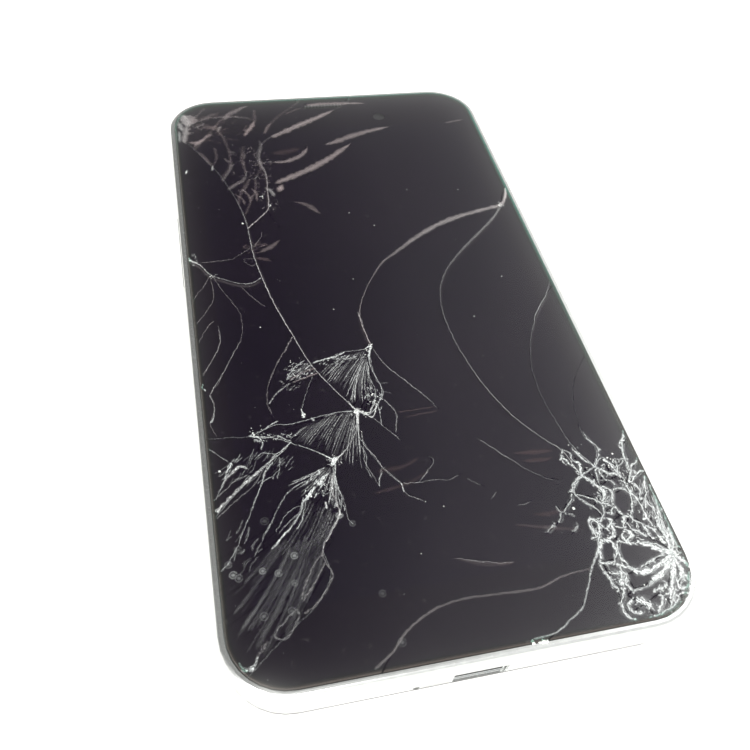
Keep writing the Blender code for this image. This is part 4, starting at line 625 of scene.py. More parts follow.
def ribbon(points, width, strength, reflected_warmth=0.0, grain=0.5, ends=(0.3, 0.3), wobble=0.03, kind="fine crack",
           lean=0.0, roundness=1.0, swelling=0.25):
    """A strip along a line, 5 points across: place(s, v) = line(s) + side(s) * (v * width(s) / 2 + lean *
    fall), with fall = (v + 1) / 2, at a height that falls from its kind's top to its foot, if it has one.
    width and strength: one value or several spread evenly along. Each end fades over a length in mm and thins
    to 0.35 of the width. Every 0.45 mm chance moves the line aside by wobble and swells it by up to swelling.
    run starts at a random number, so that no two strips have the same dots."""
    line, run = smooth_line(points, roundness=roundness)
    tangent = np.gradient(line, axis=0)
    tangent /= np.linalg.norm(tangent, axis=1)[:, None] + 1e-12
    side = np.column_stack([-tangent[:, 1], tangent[:, 0]])
    share = run / run[-1]
    widths = np.interp(share, np.linspace(0, 1, np.size(width)), np.atleast_1d(width)) * MM
    power = np.interp(share, np.linspace(0, 1, np.size(strength)), np.atleast_1d(strength))
    thin = np.clip(run / (ends[0] * MM + 1e-9), 0, 1) * np.clip((run[-1] - run) / (ends[1] * MM + 1e-9), 0, 1)
    thin = thin * (2 - thin)
    knots = max(int(run[-1] / KNOT_STEP), 2)
    stations = np.linspace(0, 1, knots + 1)
    shift = np.interp(share, stations, chance.normal(0, wobble * MM, knots + 1))
    swell = np.interp(share, stations, chance.uniform(1 - swelling, 1 + swelling, knots + 1))
    across = np.linspace(-1, 1, ACROSS)
    fall = (across + 1) / 2
    wide = widths * (TIP_WIDTH + (1 - TIP_WIDTH) * thin) * swell
    reach = wide[:, None] * across / 2 + shift[:, None] + lean * MM * fall
    flat = line[:, None, :] + side[:, None, :] * reach[:, :, None]
    top, foot = TOP[kind], FOOT.get(kind, TOP[kind])
    height = np.broadcast_to((top + (foot - top) * fall) * MM, reach.shape)
    rows = len(line)
    return {
        "points": np.concatenate([flat, height[:, :, None]], axis=2).reshape(-1, 3),
        "faces": grid_faces(rows, ACROSS),
        "run": np.repeat(run / MM + chance.uniform(0, RUN_SHIFT), ACROSS),
        "across": np.tile(across, rows),
        "strength": np.repeat(power * thin, ACROSS),
        "reflected_warmth": np.full(rows * ACROSS, float(reflected_warmth)),
        "grain": np.full(rows * ACROSS, float(grain)),
    }


def join_ribbons(name, ribbons, material):
    """One piece from many strips, with their numbers kept as attributes of its points."""
    starts = np.cumsum([0] + [len(r["points"]) for r in ribbons])
    faces = np.concatenate([r["faces"] + start for r, start in zip(ribbons, starts)])
    item = make_piece(name, np.concatenate([r["points"] for r in ribbons]), faces, material)
    for key in ("run", "across", "strength", "reflected_warmth", "grain"):
        values = np.concatenate([r[key] for r in ribbons]).astype(np.float32)
        item.data.attributes.new(key, "FLOAT", "POINT").data.foreach_set("value", values)
    print(name, "has", len(ribbons), "ribbons and", len(faces), "faces")
    return item


def glass_place(points):
    """Thousandths of the glass's half sizes, as cracks are listed, to metres."""
    return np.asarray(points, float) * (HALF_WIDTH, HALF_LENGTH) / 1000


def in_mm(points):
    """Millimetres to metres."""
    return np.asarray(points, float) * MM


REACH = np.array([33.0, 64.0])


def on_glass(points):
    """Points in mm, held inside the glass's straight edges."""
    return np.clip(points, -REACH, REACH)


print("strips lie between", FOOT["broken face"], "and", TOP["lip"], "mm")


# %% Material of a crack
crack_frost, tree = new_material("frosted crack face and painted reflection")
number = {key: add_node(tree, "ShaderNodeAttribute", attribute_name=key).outputs["Fac"]
          for key in ("run", "across", "strength", "reflected_warmth", "grain")}
where = add_node(tree, "ShaderNodeCombineXYZ", {"X": number["run"], "Y": number["across"]}).outputs[0]
dots = noise(tree, where, 2.6, 3.0)
dots = rescaled(tree, dots, (0.44, 0.62), (0.07, 2.2))
streak_at = add_node(tree, "ShaderNodeVectorMath", {0: where, 1: (0.25, 1.6, 1.0)},
                     operation="MULTIPLY").outputs[0]
streaks = noise(tree, streak_at, 1.5, 2.0)
streaks = rescaled(tree, streaks, (0.3, 0.7), (0.75, 1.2))
texture = add_node(tree, "ShaderNodeMix", {"Factor": number["grain"], "A": streaks, "B": dots}).outputs[0]
edge = maths(tree, "MULTIPLY", number["across"], number["across"])
body = maths(tree, "SUBTRACT", 1.0, edge)
body = maths(tree, "POWER", body, 1.6)
shown = maths(tree, "MULTIPLY", body, number["strength"])
shown = maths(tree, "MULTIPLY", shown, texture, use_clamp=True)
# Frost white is the crushed glass's own colour; the pink and brown at higher reflected warmth are a painted
# reflection of the room in the broken faces.
frost_and_reflection = ramp(tree, number["reflected_warmth"], (0.0, hex_colour("#dfe4e3")), (0.5, hex_colour("#d3c6c6")),
             (1.0, hex_colour("#a47f7a")))
shader = add_node(tree, "ShaderNodeBsdfPrincipled", {"Base Color": frost_and_reflection, "Roughness": 0.5, "Alpha": shown})
add_node(tree, "ShaderNodeOutputMaterial", {"Surface": shader.outputs[0]})
print("crack material reads", list(number))

# %% [markdown]
# ## Where the cracks run
# The same lines as in the solids, read off the photograph on a map that spans the glass: 1000 across
# is the right edge and 1000 up the far end. Main cracks part the glass into shards, fine ones stay at the
# surface.

# %% Crack lines
MAIN_CRACKS = {
    "long crack": [(-1038, 818), (-941, 787), (-890, 740), (-797, 647), (-752, 591), (-704, 513),
        (-671, 443), (-650, 373), (-644, 295), (-638, 218), (-611, 124), (-577, 31), (-511, -93),
        (-445, -205), (-361, -289), (-298, -345), (-277, -364)],
    "fan join": [(-277, -364), (-301, -420), (-367, -470), (-430, -498)],
    "lower fan side": [(-430, -498), (-445, -552), (-436, -599), (-460, -642), (-511, -680), (-559, -715),
        (-547, -778), (-620, -837), (-722, -877), (-842, -924), (-968, -977)],
    "left edge crack": [(-1038, 240), (-989, 227), (-938, 205), (-890, 162), (-818, 138), (-740, 117),
        (-674, 114), (-614, 134)],
    "middle fan top": [(-277, -364), (-373, -361), (-469, -367), (-602, -378), (-680, -375), (-797, -398),
        (-902, -393), (-1038, -390)],
    "middle fan foot": [(-430, -498), (-517, -463), (-617, -432), (-704, -409), (-797, -398)],
    "lower left crack": [(-617, -432), (-668, -456), (-776, -495), (-902, -554), (-1038, -602)],
    "upper fan top": [(-445, -198), (-367, -187), (-271, -171), (-186, -171), (-120, -160)],
    "upper fan side": [(-120, -160), (-150, -196), (-150, -243), (-129, -305), (-162, -348), (-223, -379),
        (-277, -364)],
    "corner crack": [(-647, 342), (-553, 393), (-505, 429), (-490, 513), (-481, 591), (-502, 669),
        (-469, 747), (-385, 793), (-271, 826), (-120, 869), (0, 905), (102, 939), (226, 1019)],
    "arc crack": [(1038, 439), (962, 395), (911, 358), (830, 347), (722, 334), (602, 317), (451, 285),
        (301, 238), (180, 191), (75, 151), (0, 101), (-66, 47), (-117, -8), (-141, -62), (-132, -124),
        (-120, -160)],
    "second arc": [(911, 358), (848, 314), (752, 264), (602, 194), (481, 132), (400, 78), (346, 22),
        (313, -62), (316, -140), (337, -224), (388, -334), (475, -440), (571, -513), (647, -563),
        (686, -635)],
    "web side": [(686, -635), (620, -678), (680, -720), (704, -748), (641, -760), (647, -793), (620, -827)],
    "bottom crack": [(620, -827), (553, -871), (517, -902), (487, -925), (451, -949), (379, -970),
        (301, -989), (205, -1019)],
    "low arc": [(-451, -1019), (-367, -966), (-301, -933), (-211, -905), (-120, -888), (0, -882),
        (150, -886), (301, -888), (421, -872), (559, -866)],
    "right arc": [(1038, 12), (932, -40), (872, -78), (818, -114), (782, -148), (740, -190), (701, -241),
        (671, -295), (659, -358), (662, -412), (680, -482), (707, -552), (770, -616)],
    "right chip crack": [(1038, -252), (983, -277), (911, -319), (857, -358), (812, -412), (791, -467),
        (782, -521), (812, -569), (770, -616)],
    "web top": [(686, -635), (770, -616), (824, -596), (872, -625), (923, -610), (944, -575), (1038, -526)],
}
FINE_CRACKS = {
    "crushed upper left corner": [
        [(-677, 454), (-662, 490), (-626, 529), (-583, 575)],
        [(-647, 404), (-598, 467), (-559, 523), (-550, 582)],
        [(-728, 532), (-671, 552), (-614, 566)],
        [(-752, 591), (-698, 631), (-680, 684), (-686, 747)],
        [(-797, 647), (-764, 694), (-770, 747)],
        [(-598, 605), (-611, 669), (-589, 747)],
        [(-550, 582), (-511, 616), (-508, 663)],
        [(-890, 740), (-830, 793), (-752, 855), (-674, 918), (-589, 964)],
        [(-941, 787), (-914, 840), (-902, 886)],
        [(-902, 886), (-800, 911), (-674, 918)],
        [(-902, 886), (-848, 933), (-794, 974)],
        [(-752, 855), (-710, 809), (-686, 747)],
        [(-571, 802), (-523, 843), (-484, 886), (-475, 949)],
        [(-439, 806), (-391, 855), (-313, 908), (-211, 958), (-150, 1019)],
        [(-674, 918), (-559, 908), (-484, 886)],
    ],
    "left edge": [
        [(-629, 267), (-680, 246), (-746, 222), (-788, 215), (-947, 213)],
        [(-632, 213), (-698, 210), (-662, 184), (-629, 193)],
        [(-638, 258), (-589, 292), (-565, 327)],
        [(-890, 162), (-932, 117), (-980, 82), (-1038, 56)],
        [(-890, 159), (-884, 78), (-908, 42), (-1038, -25)],
        [(-878, 156), (-824, 82), (-782, 37), (-758, -6), (-764, -70), (-794, -109), (-857, -171),
         (-914, -227), (-956, -258), (-944, -292), (-956, -327), (-971, -347), (-944, -392)],
        [(-881, -44), (-878, -82), (-893, -112), (-932, -152), (-986, -202)],
        [(-896, -12), (-932, -33), (-1038, -90)],
        [(-734, 106), (-686, 62), (-623, 16)],
    ],
    "branches under the fans": [
        [(-280, -420), (-280, -467), (-241, -505), (-220, -537), (-156, -585), (-150, -610), (-69, -642)],
        [(-283, -463), (-295, -513), (-259, -582)],
        [(-223, -533), (-256, -575)],
        [(-156, -585), (-75, -589), (6, -588), (60, -594), (132, -583)],
        [(-75, -589), (18, -541), (0, -519)],
        [(-138, -336), (-96, -378), (-93, -395), (-114, -428), (-111, -454)],
        [(-223, -379), (-162, -423), (-102, -467)],
        [(-117, -168), (-81, -227), (0, -288), (90, -358), (120, -389)],
        [(144, -597), (217, -625)],
        [(268, -642), (220, -666)],
        [(337, -684), (370, -687), (406, -680)],
        [(265, -491), (349, -544), (445, -597), (529, -631), (568, -636)],
        [(-15, -787), (75, -804), (150, -815), (241, -823)],
    ],
}
print(len(MAIN_CRACKS), "main cracks,", sum(len(group) for group in FINE_CRACKS.values()), "fine ones")

# %% [markdown]
# ## Lips of the main cracks
# Each main crack gets its width in mm, its strength along the way, its warmth and how dotted it is. The long
# arc from the right edge is a broad soft band that thins to a hair; the joints of the fans are broad and
# sparkling.

# %% Main cracks
MAIN_LOOK = {
    # width in mm and strength along the way, reflected warmth (painted reflection), grain
    "long crack": ([0.6, 0.5, 0.34, 0.2, 0.15, 0.15, 0.2, 0.2], [0.03, 0.04, 0.07, 0.28, 0.6, 0.7, 0.4, 0.4],
                   0.1, 0.75),
    "fan join": ([0.4, 0.2, 0.2, 0.4], [0.9, 0.3, 0.25, 0.9], 0.1, 1.0),
    "lower fan side": ([0.3, 0.2, 0.2, 0.3, 0.3], [0.6, 0.2, 0.12, 0.06, 0.08], 0.0, 0.9),
    "left edge crack": ([0.5, 0.2, 0.16, 0.16, 0.2], [0.8, 0.5, 0.36, 0.36, 0.5], 0.1, 0.85),
    "middle fan top": ([0.25, 0.16, 0.2, 0.14, 0.1, 0.1], [0.5, 0.3, 0.4, 0.35, 0.2, 0.15], 0.0, 0.9),
    "middle fan foot": ([0.35, 0.2, 0.2, 0.2], [0.9, 0.3, 0.35, 0.4], 0.0, 1.0),
    "lower left crack": ([0.2, 0.2, 0.2], [0.3, 0.35, 0.2], 0.0, 0.6),
    "upper fan top": ([0.2, 0.15, 0.15, 0.2, 0.4], [0.2, 0.3, 0.3, 0.2, 0.9], 0.0, 1.0),
    "upper fan side": ([0.4, 0.18, 0.2, 0.24, 0.3], [0.8, 0.35, 0.35, 0.4, 0.5], 0.0, 0.9),
    "corner crack": ([0.3, 0.3, 0.4, 0.6, 0.7, 0.8, 0.8, 0.4], [0.5, 0.34, 0.2, 0.08, 0.05, 0.05, 0.04, 0.03],
                     0.3, 0.7),
    "arc crack": ([0.6, 1.3, 1.5, 1.4, 0.9, 0.2, 0.16, 0.2], [0.6, 0.26, 0.26, 0.24, 0.16, 0.16, 0.3, 0.4],
                  0.35, 0.1),
    "second arc": ([0.7, 0.7, 0.5, 0.2, 0.13, 0.13, 0.13, 0.2], [0.2, 0.16, 0.12, 0.14, 0.3, 0.4, 0.4, 0.5],
                   0.1, 0.15),
    "web side": ([0.5, 0.35, 0.4], [0.4, 0.35, 0.4], 0.0, 0.4),
    "bottom crack": ([0.5, 0.4, 0.35, 0.4], [0.5, 0.35, 0.3, 0.35], 0.0, 0.45),
    "low arc": ([0.5, 0.5, 0.45, 0.5, 0.5, 0.4], [0.12, 0.14, 0.12, 0.12, 0.14, 0.12], 0.3, 0.0),
    "right arc": ([0.14, 0.16, 0.12, 0.1, 0.1, 0.12, 0.2], [0.1, 0.5, 0.2, 0.14, 0.16, 0.25, 0.5], 0.0, 0.2),
    "right chip crack": ([0.12, 0.1, 0.1, 0.2], [0.12, 0.12, 0.12, 0.4], 0.0, 0.3),
    "web top": ([0.4, 0.35, 0.4], [0.4, 0.35, 0.4], 0.0, 0.4),
}
DEEP = ("long crack", "left edge crack", "arc crack", "second arc", "bottom crack", "right arc",
        "corner crack")
LIP_LIMIT = 992
FACE_WIDTH = 0.2
FACE_LEAN = 0.45
lips, faces_seen = [], []
for name, line in MAIN_CRACKS.items():
    width, strength, reflected_warmth, grain = MAIN_LOOK[name]
    inside = glass_place(np.clip(line, -LIP_LIMIT, LIP_LIMIT))
    lips.append(ribbon(inside, width, strength, reflected_warmth, grain, kind="lip"))
    if name in DEEP:
        lean = FACE_LEAN if len(line) % 2 else -FACE_LEAN
        faces_seen.append(ribbon(inside, FACE_WIDTH, 0.12 * np.atleast_1d(strength), reflected_warmth + 0.3, 0.0,
                                 ends=(2, 2), kind="broken face", lean=lean))
join_ribbons("crack_lips", lips, crack_frost)
join_ribbons("crack_faces", faces_seen, crack_frost)

# %% [markdown]
# ## Fine cracks, by neighbourhood
# Width, strength, warmth and grain follow the place: broad, soft and warm in the crushed far left corner,
# hair thin and dotted at the left edge, and a little broader under the fans.

# %% Fine cracks
FINE_LIMIT = 994
FINE_LOOK = {
    # width in mm, strength, reflected warmth (painted reflection), grain
    "crushed upper left corner": (0.9, 0.055, 0.6, 0.3),
    "left edge": (0.12, 0.26, 0.3, 0.8),
    "branches under the fans": (0.16, 0.26, 0.1, 0.7),
}
fine = []
for group, lines in FINE_CRACKS.items():
    width, strength, reflected_warmth, grain = FINE_LOOK[group]
    for line in lines:
        ends = (0.3, 0.3) if "corner" in group else (0.6, 1.2)
        widths = width * chance.uniform(0.7, 1.4, 4)
        strengths = strength * chance.uniform(0.6, 1.3, 4)
        inside = glass_place(np.clip(line, -FINE_LIMIT, FINE_LIMIT))
        fine.append(ribbon(inside, widths, strengths, reflected_warmth, grain, ends=ends, wobble=0.05,
                           kind="fine crack"))
join_ribbons("fine_cracks", fine, crack_frost)

# %% [markdown]
# ## The net at the near right corner
# Under the second blow the glass broke into small cells, a few millimetres wide, with clear dark middles and
# frosted seams, and spokes run into the bright knot at the corner. Each seam is a line of points in mm, with
# its width and strength. It is drawn with a bend more in each span, with a fainter second line beside it, a
# soft halo below and a short spur from each of its own points.

# %% Seams of the net
NET = [
    # points in mm, width, strength
    ([(21.0, -38.5), (20.9, -36.8), (21.6, -35.8), (22.6, -36.6), (22.4, -38.0), (23.5, -38.8)], 0.3, 0.5),
    ([(21.0, -37.2), (21.8, -38.8), (22.6, -40.0), (23.2, -41.3), (24.2, -42.3)], 0.34, 0.6),
    ([(23.5, -38.5), (23.1, -39.8), (22.9, -41.0), (23.9, -41.8), (24.2, -42.4)], 0.4, 0.8),
    ([(23.2, -36.0), (24.0, -37.6), (24.8, -38.8), (25.7, -39.8), (26.3, -40.1)], 0.34, 0.7),
    ([(26.2, -33.5), (26.6, -35.0), (27.4, -36.6), (27.0, -37.8), (26.0, -39.2)], 0.3, 0.5),
    ([(27.5, -38.5), (28.3, -39.8), (28.6, -41.0), (28.9, -42.0)], 0.45, 1.0),
    ([(29.3, -39.8), (28.9, -41.0), (28.7, -42.2)], 0.4, 0.8),
    ([(29.5, -39.0), (31.0, -39.0), (30.6, -40.5), (30.9, -41.8), (30.0, -43.0)], 0.32, 0.45),
    ([(30.9, -36.8), (31.7, -35.8), (32.8, -34.9)], 0.35, 0.8),
    ([(31.8, -36.0), (31.3, -37.5), (31.0, -39.0), (31.0, -40.8)], 0.35, 0.7),
    ([(33.0, -39.5), (32.0, -40.2), (31.2, -41.0), (30.6, -42.3)], 0.35, 0.7),
    ([(33.0, -41.5), (31.9, -42.0), (30.8, -42.7), (30.1, -43.4)], 0.35, 0.9),
    ([(22.6, -40.8), (21.5, -41.8), (20.5, -43.0), (19.9, -43.3)], 0.4, 0.6),
    ([(20.2, -43.6), (19.8, -44.6), (18.8, -45.5), (17.9, -46.5)], 0.4, 0.45),
    ([(20.8, -43.8), (22.0, -44.4), (23.4, -45.2), (24.2, -46.0)], 0.36, 0.5),
    ([(21.3, -45.0), (22.3, -46.2), (22.8, -46.5)], 0.4, 0.35),
    ([(24.2, -42.4), (25.0, -43.6), (25.2, -44.6), (24.6, -45.5), (24.2, -46.2)], 0.5, 0.9),
    ([(25.7, -40.0), (25.2, -41.6), (25.0, -43.0)], 0.3, 0.5),
    ([(26.3, -40.1), (27.2, -41.3), (28.2, -41.3), (28.7, -41.8)], 0.45, 0.7),
    ([(26.2, -40.2), (25.9, -41.2), (26.3, -42.2), (27.2, -42.4), (27.6, -43.4)], 0.34, 0.6),
    ([(27.2, -43.9), (28.7, -44.2), (29.2, -45.0), (29.0, -46.5), (28.3, -48.0), (27.4, -48.9), (26.2, -47.8),
      (25.8, -46.2), (26.2, -44.8), (27.2, -43.9)], 0.38, 0.75),
    ([(25.3, -43.2), (26.3, -43.9), (26.5, -44.8), (25.9, -46.0)], 0.4, 0.7),
    ([(29.2, -43.0), (29.4, -44.5), (29.9, -46.0), (30.2, -47.5), (30.0, -49.5), (30.4, -51.0)], 0.4, 1.0),
    ([(30.1, -43.4), (30.8, -44.0), (31.0, -45.2), (30.4, -46.5)], 0.34, 0.7),
    ([(32.9, -42.5), (32.2, -44.0), (31.8, -45.5), (31.0, -46.8), (30.5, -48.0)], 0.34, 0.8),
    ([(31.3, -46.6), (31.8, -48.0), (31.7, -49.5), (31.9, -51.0), (32.2, -53.0)], 0.32, 0.8),
    ([(32.9, -46.0), (32.6, -48.0), (32.2, -50.0), (32.3, -52.0), (32.0, -54.0)], 0.3, 0.7),
    ([(33.0, -48.0), (32.9, -51.0), (32.5, -54.0)], 0.3, 0.6),
    ([(32.9, -44.0), (32.8, -46.0), (32.4, -48.5), (31.7, -50.5), (31.6, -53.0)], 0.3, 0.7),
    ([(24.2, -46.2), (24.0, -47.3), (23.2, -48.3), (22.4, -49.0)], 0.36, 0.6),
    ([(24.3, -46.1), (25.2, -46.2), (25.6, -47.0), (25.0, -48.0), (24.2, -47.6)], 0.36, 0.6),
    ([(20.8, -48.6), (21.4, -48.2), (22.2, -48.8), (22.3, -49.6), (21.8, -50.8), (21.2, -51.6)], 0.5, 0.9),
    ([(20.9, -48.8), (21.1, -50.0), (21.2, -51.2), (20.2, -51.3)], 0.4, 0.7),
    ([(22.3, -49.0), (23.2, -50.1), (24.0, -49.6), (24.6, -48.9), (23.8, -48.4)], 0.4, 0.7),
    ([(24.0, -49.6), (24.2, -50.6), (23.6, -51.6), (22.0, -51.7)], 0.4, 0.8),
    ([(24.6, -50.0), (25.8, -50.4), (26.3, -49.6), (26.4, -48.6)], 0.4, 0.8),
    ([(25.9, -50.6), (26.6, -51.2), (26.3, -52.0), (25.5, -52.6), (25.0, -51.9), (25.6, -51.2)], 0.42, 1.0),
    ([(27.6, -48.6), (27.8, -49.5), (29.0, -50.2), (29.2, -51.5), (29.6, -53.0)], 0.4, 0.8),
    ([(26.7, -49.6), (27.0, -50.8), (28.0, -51.6), (28.8, -52.4)], 0.36, 0.7),
    ([(29.3, -50.6), (30.2, -51.4), (30.6, -52.6), (30.9, -54.0)], 0.36, 0.9),
    ([(20.6, -54.6), (20.7, -53.2), (21.4, -52.0), (22.4, -51.8), (23.2, -52.4), (23.4, -53.6),
      (22.8, -54.8)], 0.5,
     0.9),
    ([(24.2, -52.2), (23.5, -53.6), (23.4, -55.0), (24.0, -56.2), (25.0, -56.9), (26.5, -56.6), (28.0, -56.0),
      (29.6, -55.6), (30.6, -54.7), (29.8, -53.8), (28.3, -53.3), (26.5, -53.0), (25.2, -52.9),
      (24.2, -52.2)], 0.4,
     0.75),
    ([(20.0, -55.0), (21.0, -55.3), (22.4, -55.3), (22.8, -54.6)], 0.5, 0.7),
    ([(20.0, -55.2), (20.4, -57.0), (20.7, -58.6), (21.3, -59.5)], 0.45, 0.6),
    ([(21.0, -57.0), (22.6, -57.0), (21.8, -59.0)], 0.9, 0.8),
    ([(22.8, -56.0), (23.2, -57.5), (22.6, -58.8), (23.2, -60.0)], 0.5, 0.8),
    ([(21.9, -59.3), (21.6, -60.2), (20.8, -61.2), (20.6, -62.5), (21.2, -63.6), (22.0, -63.9)], 0.55, 0.7),
    ([(22.4, -55.6), (23.4, -56.2), (24.6, -57.0)], 0.6, 0.8),
    ([(23.2, -60.0), (24.5, -59.8), (26.2, -59.4), (28.0, -58.8)], 0.5, 0.35),
    ([(22.6, -61.0), (21.6, -61.8), (22.0, -63.0), (23.3, -63.0)], 0.5, 0.7),
    ([(23.0, -61.2), (24.0, -61.6), (24.8, -62.6)], 1.4, 0.85),
    ([(26.5, -60.6), (27.6, -60.2), (28.6, -59.5)], 0.5, 0.8),
    ([(27.2, -61.2), (26.3, -62.6), (25.4, -63.4)], 0.6, 0.8),
    ([(29.2, -60.8), (28.3, -62.4), (27.2, -63.4)], 0.5, 0.7),
    ([(24.5, -63.8), (26.0, -63.7), (28.0, -63.0), (29.5, -62.0)], 0.4, 0.6),
    ([(30.2, -61.0), (30.2, -60.0), (31.0, -59.3), (32.0, -59.2), (32.0, -60.0), (31.2, -60.8),
      (30.2, -61.0)], 0.4,
     0.9),
    ([(24.5, -57.0), (25.5, -57.6), (27.0, -57.5), (29.0, -56.8), (31.2, -55.8)], 0.8, 1.2),
    ([(26.6, -58.9), (28.4, -58.3), (31.2, -56.2)], 0.8, 1.4),
    ([(27.2, -53.1), (28.6, -53.8), (31.2, -55.2)], 0.5, 1.2),
    ([(28.0, -62.0), (29.6, -59.4), (31.2, -56.4)], 0.8, 1.0),
    ([(31.3, -55.6), (31.7, -53.0), (31.3, -50.5)], 0.5, 1.2),
    ([(31.3, -55.6), (32.4, -54.0), (32.7, -51.5)], 0.5, 1.1),
    ([(31.3, -55.6), (32.6, -57.0), (33.0, -58.2)], 0.6, 1.1),
    ([(31.3, -55.6), (31.6, -58.0), (31.2, -59.4)], 0.7, 1.1),
    ([(31.3, -55.6), (29.4, -54.6), (28.6, -54.2)], 0.5, 1.1),
    ([(30.0, -61.5), (31.2, -61.8), (31.8, -60.8), (32.6, -58.6)], 0.5, 0.8),
    ([(16.9, -45.6), (17.4, -46.4), (17.0, -47.3), (16.4, -48.0)], 0.35, 0.4),
    ([(14.1, -49.2), (15.0, -48.6), (15.8, -48.2)], 0.45, 0.4),
    ([(18.0, -49.8), (18.7, -49.2), (19.2, -49.1)], 0.45, 0.35),
    ([(18.2, -46.9), (19.2, -47.1)], 0.4, 0.3),
]
SECOND_LINE = (0.28, -0.22)
JOG = 0.09


def angular(line):
    """The line with a point more in the middle of each span, each new point moved by a normal draw, in mm."""
    line = np.asarray(line, float)
    middles = (line[1:] + line[:-1]) / 2 + chance.normal(0, JOG, (len(line) - 1, 2))
    broken = np.empty((2 * len(line) - 1, 2))
    broken[::2], broken[1::2] = line, middles
    return on_glass(broken)


net = []
for line, width, strength in NET:
    broken = angular(line)
    net.append(ribbon(in_mm(broken), 0.9 * width, 0.95 * strength, 0.0, 0.75, ends=(0.15, 0.15), wobble=0.05,
                      kind="seam", roundness=0.0, swelling=0.75))
    net.append(ribbon(in_mm(angular(np.add(line, SECOND_LINE))), 0.7 * width, 0.22 * strength, 0.0, 0.8,
                      ends=(0.15, 0.15), wobble=0.05, kind="fine crack", roundness=0.0, swelling=0.65))
    net.append(ribbon(in_mm(broken), 2.4 * width, 0.11 * strength, 0.0, 0.4, ends=(0.3, 0.3), wobble=0.1,
                      kind="halo", roundness=0.2, swelling=0.5))
    for joint in broken[::2]:
        way = chance.uniform(0, 2 * np.pi)
        tip = joint + chance.uniform(0.3, 0.9) * np.array([np.cos(way), np.sin(way)])
        net.append(ribbon(in_mm([joint, on_glass(tip)]), chance.uniform(0.3, 0.6),
                          strength * chance.uniform(0.4, 1.2), 0.0,
                          0.5, ends=(0.05, 0.4), wobble=0.03, kind="spur", roundness=0.0))
join_ribbons("corner_net", net, crack_frost)

# %% [markdown]
# ## Fans
# At three places the glass split into sheaves of needles that spread from a bright knot. A sheaf is a set of
# strands from one rail to another. Most strands are dotted lines, broken off at random, with dark glass
# between.

# %% Sheaves of strands
def point_on(rail, share):
    """The point at a share of the way along a rail, counted by its points."""
    rail = np.asarray(rail, float)
    place = share * (len(rail) - 1)
    return np.array([np.interp(place, np.arange(len(rail)), rail[:, k]) for k in (0, 1)])


FANS = [
    # first rail and second rail in mm, count, bow, width, strength
    ([(-11.8, -13.2), (-9.0, -13.0), (-6.5, -12.6), (-5.2, -13.0)],
     [(-14.2, -15.4), (-13.0, -17.2), (-11.5, -19.3), (-10.0, -21.6)], 27, -0.02, 0.14, 0.34),
    ([(-5.6, -12.6), (-4.9, -13.2)], [(-9.8, -21.8), (-8.6, -22.4), (-7.2, -22.8), (-5.6, -20.6)], 15, -0.06,
     0.14, 0.4),
    ([(-8.6, -11.6), (-5.4, -11.2)], [(-11.6, -13.6), (-6.8, -13.6)], 12, 0.0, 0.15, 0.4),
    ([(-14.4, -12.9), (-15.2, -12.2)], [(-18.8, -16.6), (-19.6, -15.2)], 9, 0.0, 0.25, 0.2),
    ([(-17.5, -24.8), (-13.6, -23.6), (-10.4, -22.9), (-9.8, -23.6)],
     [(-21.0, -27.4), (-18.6, -28.6), (-15.6, -30.6), (-14.0, -31.8)], 36, -0.02, 0.15, 0.22),
    ([(-9.8, -23.8), (-9.2, -24.8)], [(-13.6, -32.4), (-12.2, -33.2), (-10.4, -34.6)], 12, -0.02, 0.16, 0.42),
    ([(-15.2, -32.6), (-14.7, -33.4)], [(-22.4, -35.0), (-20.6, -37.4), (-17.0, -39.6), (-15.5, -41.0)], 19,
     0.02, 0.22, 0.3),
    ([(-19.5, -37.5), (-17.0, -39.0), (-15.4, -41.0)], [(-26.0, -45.2), (-22.5, -48.0), (-18.8, -46.0)], 15,
     0.03, 0.4, 0.07),
    ([(-25.0, -44.0), (-20.5, -43.0), (-17.6, -44.6)], [(-33.0, -50.5), (-32.6, -57.0), (-29.6, -60.6),
     (-24.8, -57.5)], 26, 0.03, 0.62, 0.04),
]
BROAD = 0.5
DOTTED, PLAIN = 0.85, 0.3
strands = []
for first, second, count, bow, width, strength in FANS:
    for share in np.linspace(0, 1, count) + chance.normal(0, 0.008, count):
        a = in_mm(point_on(first, np.clip(share, 0, 1)))
        b = in_mm(point_on(second, np.clip(share + chance.normal(0, 0.02), 0, 1)))
        start, stop = chance.uniform(0, 0.35) ** 1.5, 1 - chance.uniform(0, 0.55) ** 1.5
        t = np.linspace(start, stop, 6)[:, None]
        side = np.array([-(b - a)[1], (b - a)[0]]) * bow * 4
        line = a + t * (b - a) + t * (1 - t) * side
        power = strength * chance.uniform(0.2, 1.8) * chance.uniform(0.3, 1.4, 5)
        grain = DOTTED if width < BROAD else PLAIN
        strands.append(ribbon(line, width * chance.uniform(0.6, 1.5), power, 0.05, grain, ends=(0.5, 1.0),
                              wobble=0.03, kind="strand"))
join_ribbons("fan_strands", strands, crack_frost)
